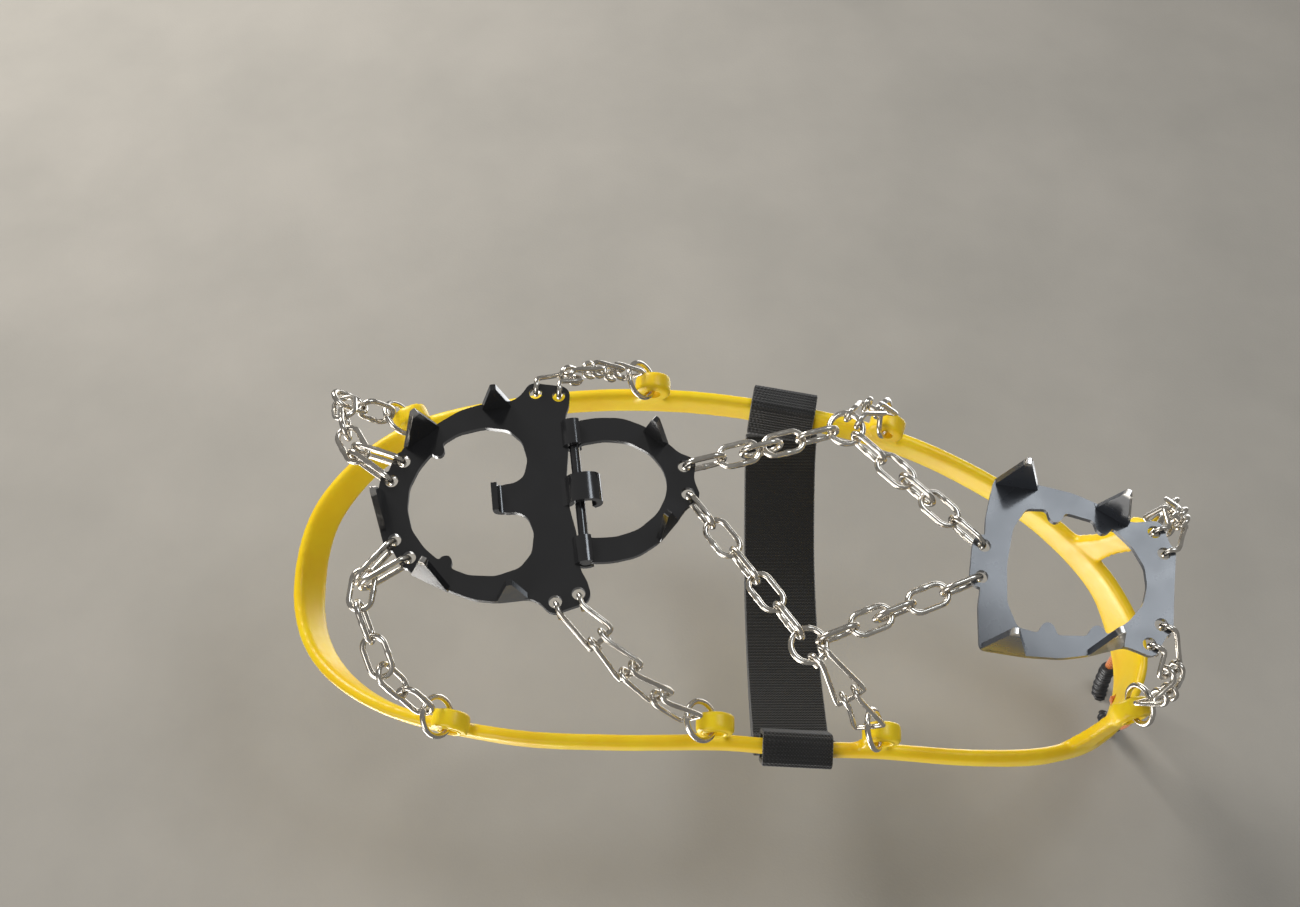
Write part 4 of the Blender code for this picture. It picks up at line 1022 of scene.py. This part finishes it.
def make_pull_loop():
    right, left = PULL_HOLES[1], PULL_HOLES[-1]
    middle = (right + left) / 2
    rise = [(0.5, 5.5, 3.0), (2.5, 5.0, 24.0), (-3.0, 3.5, 40.0)]
    start = [right + Vector((0.0, -5.5, 0.0)), right] + [right + Vector(step) for step in rise]
    start[-1].x = middle.x + 7.0
    finish = [Vector((2 * middle.x - p.x, p.y, p.z)) for p in reversed(start)]
    path = smooth_path(start + [middle + Vector((0.0, 3.0, 45.0))] + finish, 16)
    dress(tube("pull_cord_braid", path, PULL_CORD_R, 16), "pull_cord", "cord", CORD)
    for word, hole in (("outer", right), ("inner", left)):
        build = bmesh.new()
        add_knot(build, hole + Vector((0.3, 5.2, 5.6)), Vector((0.0, 0.1, 1.0)).normalized(), 2.3)
        dress(piece_from(build, f"pull_knot_{word}"), "pull_cord", "cord", CORD, replaces=False)
    top = [p for p in path if p.z > middle.z + 30.0]
    radii = [PULL_CORD_R + TUBE_WALL * (0.86 + 0.14 * math.cos(1.9 * k)) for k in range(len(top))]
    radii[0] = radii[-1] = PULL_CORD_R + 0.5 * TUBE_WALL
    dress(tube("pull_grip_sleeve", top, radii, 24), "pull_grip_tube", "tube", SLEEVE)


# ---- stage -------------------------------------------------------------------------
TILT = math.radians(24.0)
TOWARDS_CAMERA = Vector((-math.sin(TILT), 0.0, -math.cos(TILT)))
PICTURE_UP = Vector((math.cos(TILT), 0.0, -math.sin(TILT)))
PICTURE_RIGHT = Y_AXIS
AIM = (Vector((23.0, 0.0, PLATE_Z)) + CENTRE) * MM
DISTANCE = 0.489
FOCAL_PIXELS, PICTURE_WIDTH = 1583.0, 1300.0


def turned(right, up, away, place):
    return Matrix.Translation(place) @ Matrix((right, up, away)).transposed().to_4x4()


def one_sided(name, light, dark):
    """A pale matt surface that is seen from its front only."""
    n = Nodes(name)
    n.vary("Base Color", n.noise(14.0), 0.3, 0.7, dark, light)
    n.shader.inputs["Roughness"].default_value = 0.9
    n.join(n.bump(n.noise(900.0, 2.0), 0.2, 0.3), n.shader.inputs["Normal"])
    side = n.add("ShaderNodeNewGeometry")
    clear = n.add("ShaderNodeBsdfTransparent")
    choose = n.add("ShaderNodeMixShader")
    n.join(side.outputs["Backfacing"], choose.inputs["Fac"])
    n.join(n.shader.outputs["BSDF"], choose.inputs[1])
    n.join(clear.outputs["BSDF"], choose.inputs[2])
    n.join(choose.outputs["Shader"], n.tree.nodes["Material Output"].inputs["Surface"])
    return n.material


def make_floor(name, matrix, size, look):
    build = bmesh.new()
    bmesh.ops.create_grid(build, x_segments=1, y_segments=1, size=size / 2, matrix=matrix)
    mesh = bpy.data.meshes.new(name)
    build.to_mesh(mesh)
    build.free()
    floor = bpy.data.objects.new(name, mesh)
    bpy.context.scene.collection.objects.link(floor)
    floor.data.materials.append(look)
    for use in ("visible_shadow", "visible_diffuse", "visible_glossy", "visible_transmission"):
        setattr(floor, use, False)


def add_light(name, place, aim, size, power, colour):
    data = bpy.data.lights.new(name, "AREA")
    data.shape = "RECTANGLE"
    data.size, data.size_y = size
    data.energy = power
    data.color = colour
    light = bpy.data.objects.new(name, data)
    bpy.context.scene.collection.objects.link(light)
    light.location = place
    light.rotation_euler = (Vector(aim) - Vector(place)).to_track_quat("-Z", "Y").to_euler()


def make_stage():
    pale = one_sided("floor_pale", (0.80, 0.78, 0.75), (0.74, 0.72, 0.69))
    make_floor("floor", Matrix.Identity(4), 6.0, pale)
    lean = math.radians(52.0)
    facing = TOWARDS_CAMERA * math.sin(lean) + PICTURE_UP * math.cos(lean)
    # The cloth of the main view lies behind the object and touches its lowest side there.
    rest = AIM - PICTURE_UP * 0.090 - TOWARDS_CAMERA * 0.030
    upward = facing.cross(PICTURE_RIGHT)
    cloth = turned(PICTURE_RIGHT, upward, PICTURE_RIGHT.cross(upward), rest - facing * 0.055)
    make_floor("cloth", cloth, 8.0, one_sided("cloth_grey", (0.40, 0.375, 0.335), (0.35, 0.33, 0.295)))
    add_light("sheen_on_heel", (0.22, 0.31, -0.58), (0.0, 0.09, 0.02), (0.30, 0.20), 1.3, (0.85, 0.92, 1.0))
    add_light("key_below", (0.80, -0.55, -0.30), (0.0, 0.0, 0.05), (0.45, 0.45), 9.0, (1.0, 0.98, 0.95))
    add_light("fill_below", (-0.75, -0.55, -0.35), (0.0, 0.0, 0.05), (0.6, 0.6), 4.0, (1.0, 0.98, 0.96))
    add_light("key_above", (-0.5, -0.6, 0.9), (0.0, 0.0, 0.05), (0.7, 0.7), 11.0, (1.0, 0.98, 0.95))
    add_light("fill_above", (0.8, 0.5, 0.7), (0.0, 0.0, 0.05), (0.8, 0.8), 6.0, (0.96, 0.98, 1.0))
    world = bpy.data.worlds.new("studio")
    bpy.context.scene.world = world
    world.use_nodes = True
    world.node_tree.nodes["Background"].inputs["Color"].default_value = (0.80, 0.79, 0.77, 1.0)
    world.node_tree.nodes["Background"].inputs["Strength"].default_value = 0.30
    data = bpy.data.cameras.new("camera")
    data.sensor_width = 36.0
    data.lens = FOCAL_PIXELS / PICTURE_WIDTH * data.sensor_width
    data.clip_start = 0.01
    camera = bpy.data.objects.new("camera", data)
    bpy.context.scene.collection.objects.link(camera)
    camera.matrix_world = turned(PICTURE_RIGHT, PICTURE_UP, TOWARDS_CAMERA, AIM + TOWARDS_CAMERA * DISTANCE)
    bpy.context.scene.camera = camera
    bpy.context.scene.view_settings.view_transform = "Standard"


make_front_plate()
make_arch_plate()
make_heel_plate()
make_harness()
BALL_EDGES = {-1: Vector((-44.0, -6.0, 27.0)), 1: Vector((56.0, -20.0, 27.0))}
HEEL_EDGES = {-1: Vector((-49.0, 154.0, 26.0)), 1: Vector((8.0, 164.0, 26.0))}
for side, word in ((-1, "inner"), (1, "outer")):
    make_edge_ladder(FRONT, f"ball_{word}", EAR_FRONT_HOLE, EAR_REAR_HOLE, side, BALL_EDGES[side], 4)
    make_edge_ladder(HEEL, f"heel_{word}", HEEL_OUTER_HOLE, HEEL_REAR_HOLE, side, HEEL_EDGES[side], 3)
make_arch_chains(-1, "inner", Vector((-38.5, 46.5, PLATE_Z)), Vector((-50.5, 58.0, 26.0)),
                 [("inner_front_run_a", 3), ("inner_front_run_b", 2)],
                 [("inner_rear_run_a", 3), ("inner_rear_run_b", 2)])
make_arch_chains(1, "outer", Vector((31.5, 61.0, PLATE_Z)), Vector((42.0, 70.0, 26.0)),
                 [("outer_front_run_a", 2), ("outer_front_run_b", 1), ("outer_front_run_c", 2)],
                 [("outer_rear_run_a", 2), ("outer_rear_run_b", 1), ("outer_rear_run_c", 2)])
make_toe_chain(-1, "inner", Vector((-18.6, -85.5, PLATE_Z)),
               [Vector((-26.4, -86.2, 19.2)), Vector((-44.2, -79.2, 27.5))])
make_toe_chain(1, "outer", Vector((23.5, -90.6, PLATE_Z)),
               [Vector((30.5, -94.7, 19.2)), Vector((47.5, -98.5, 31.5))])
make_webbing()
make_pull_loop()
make_stage()
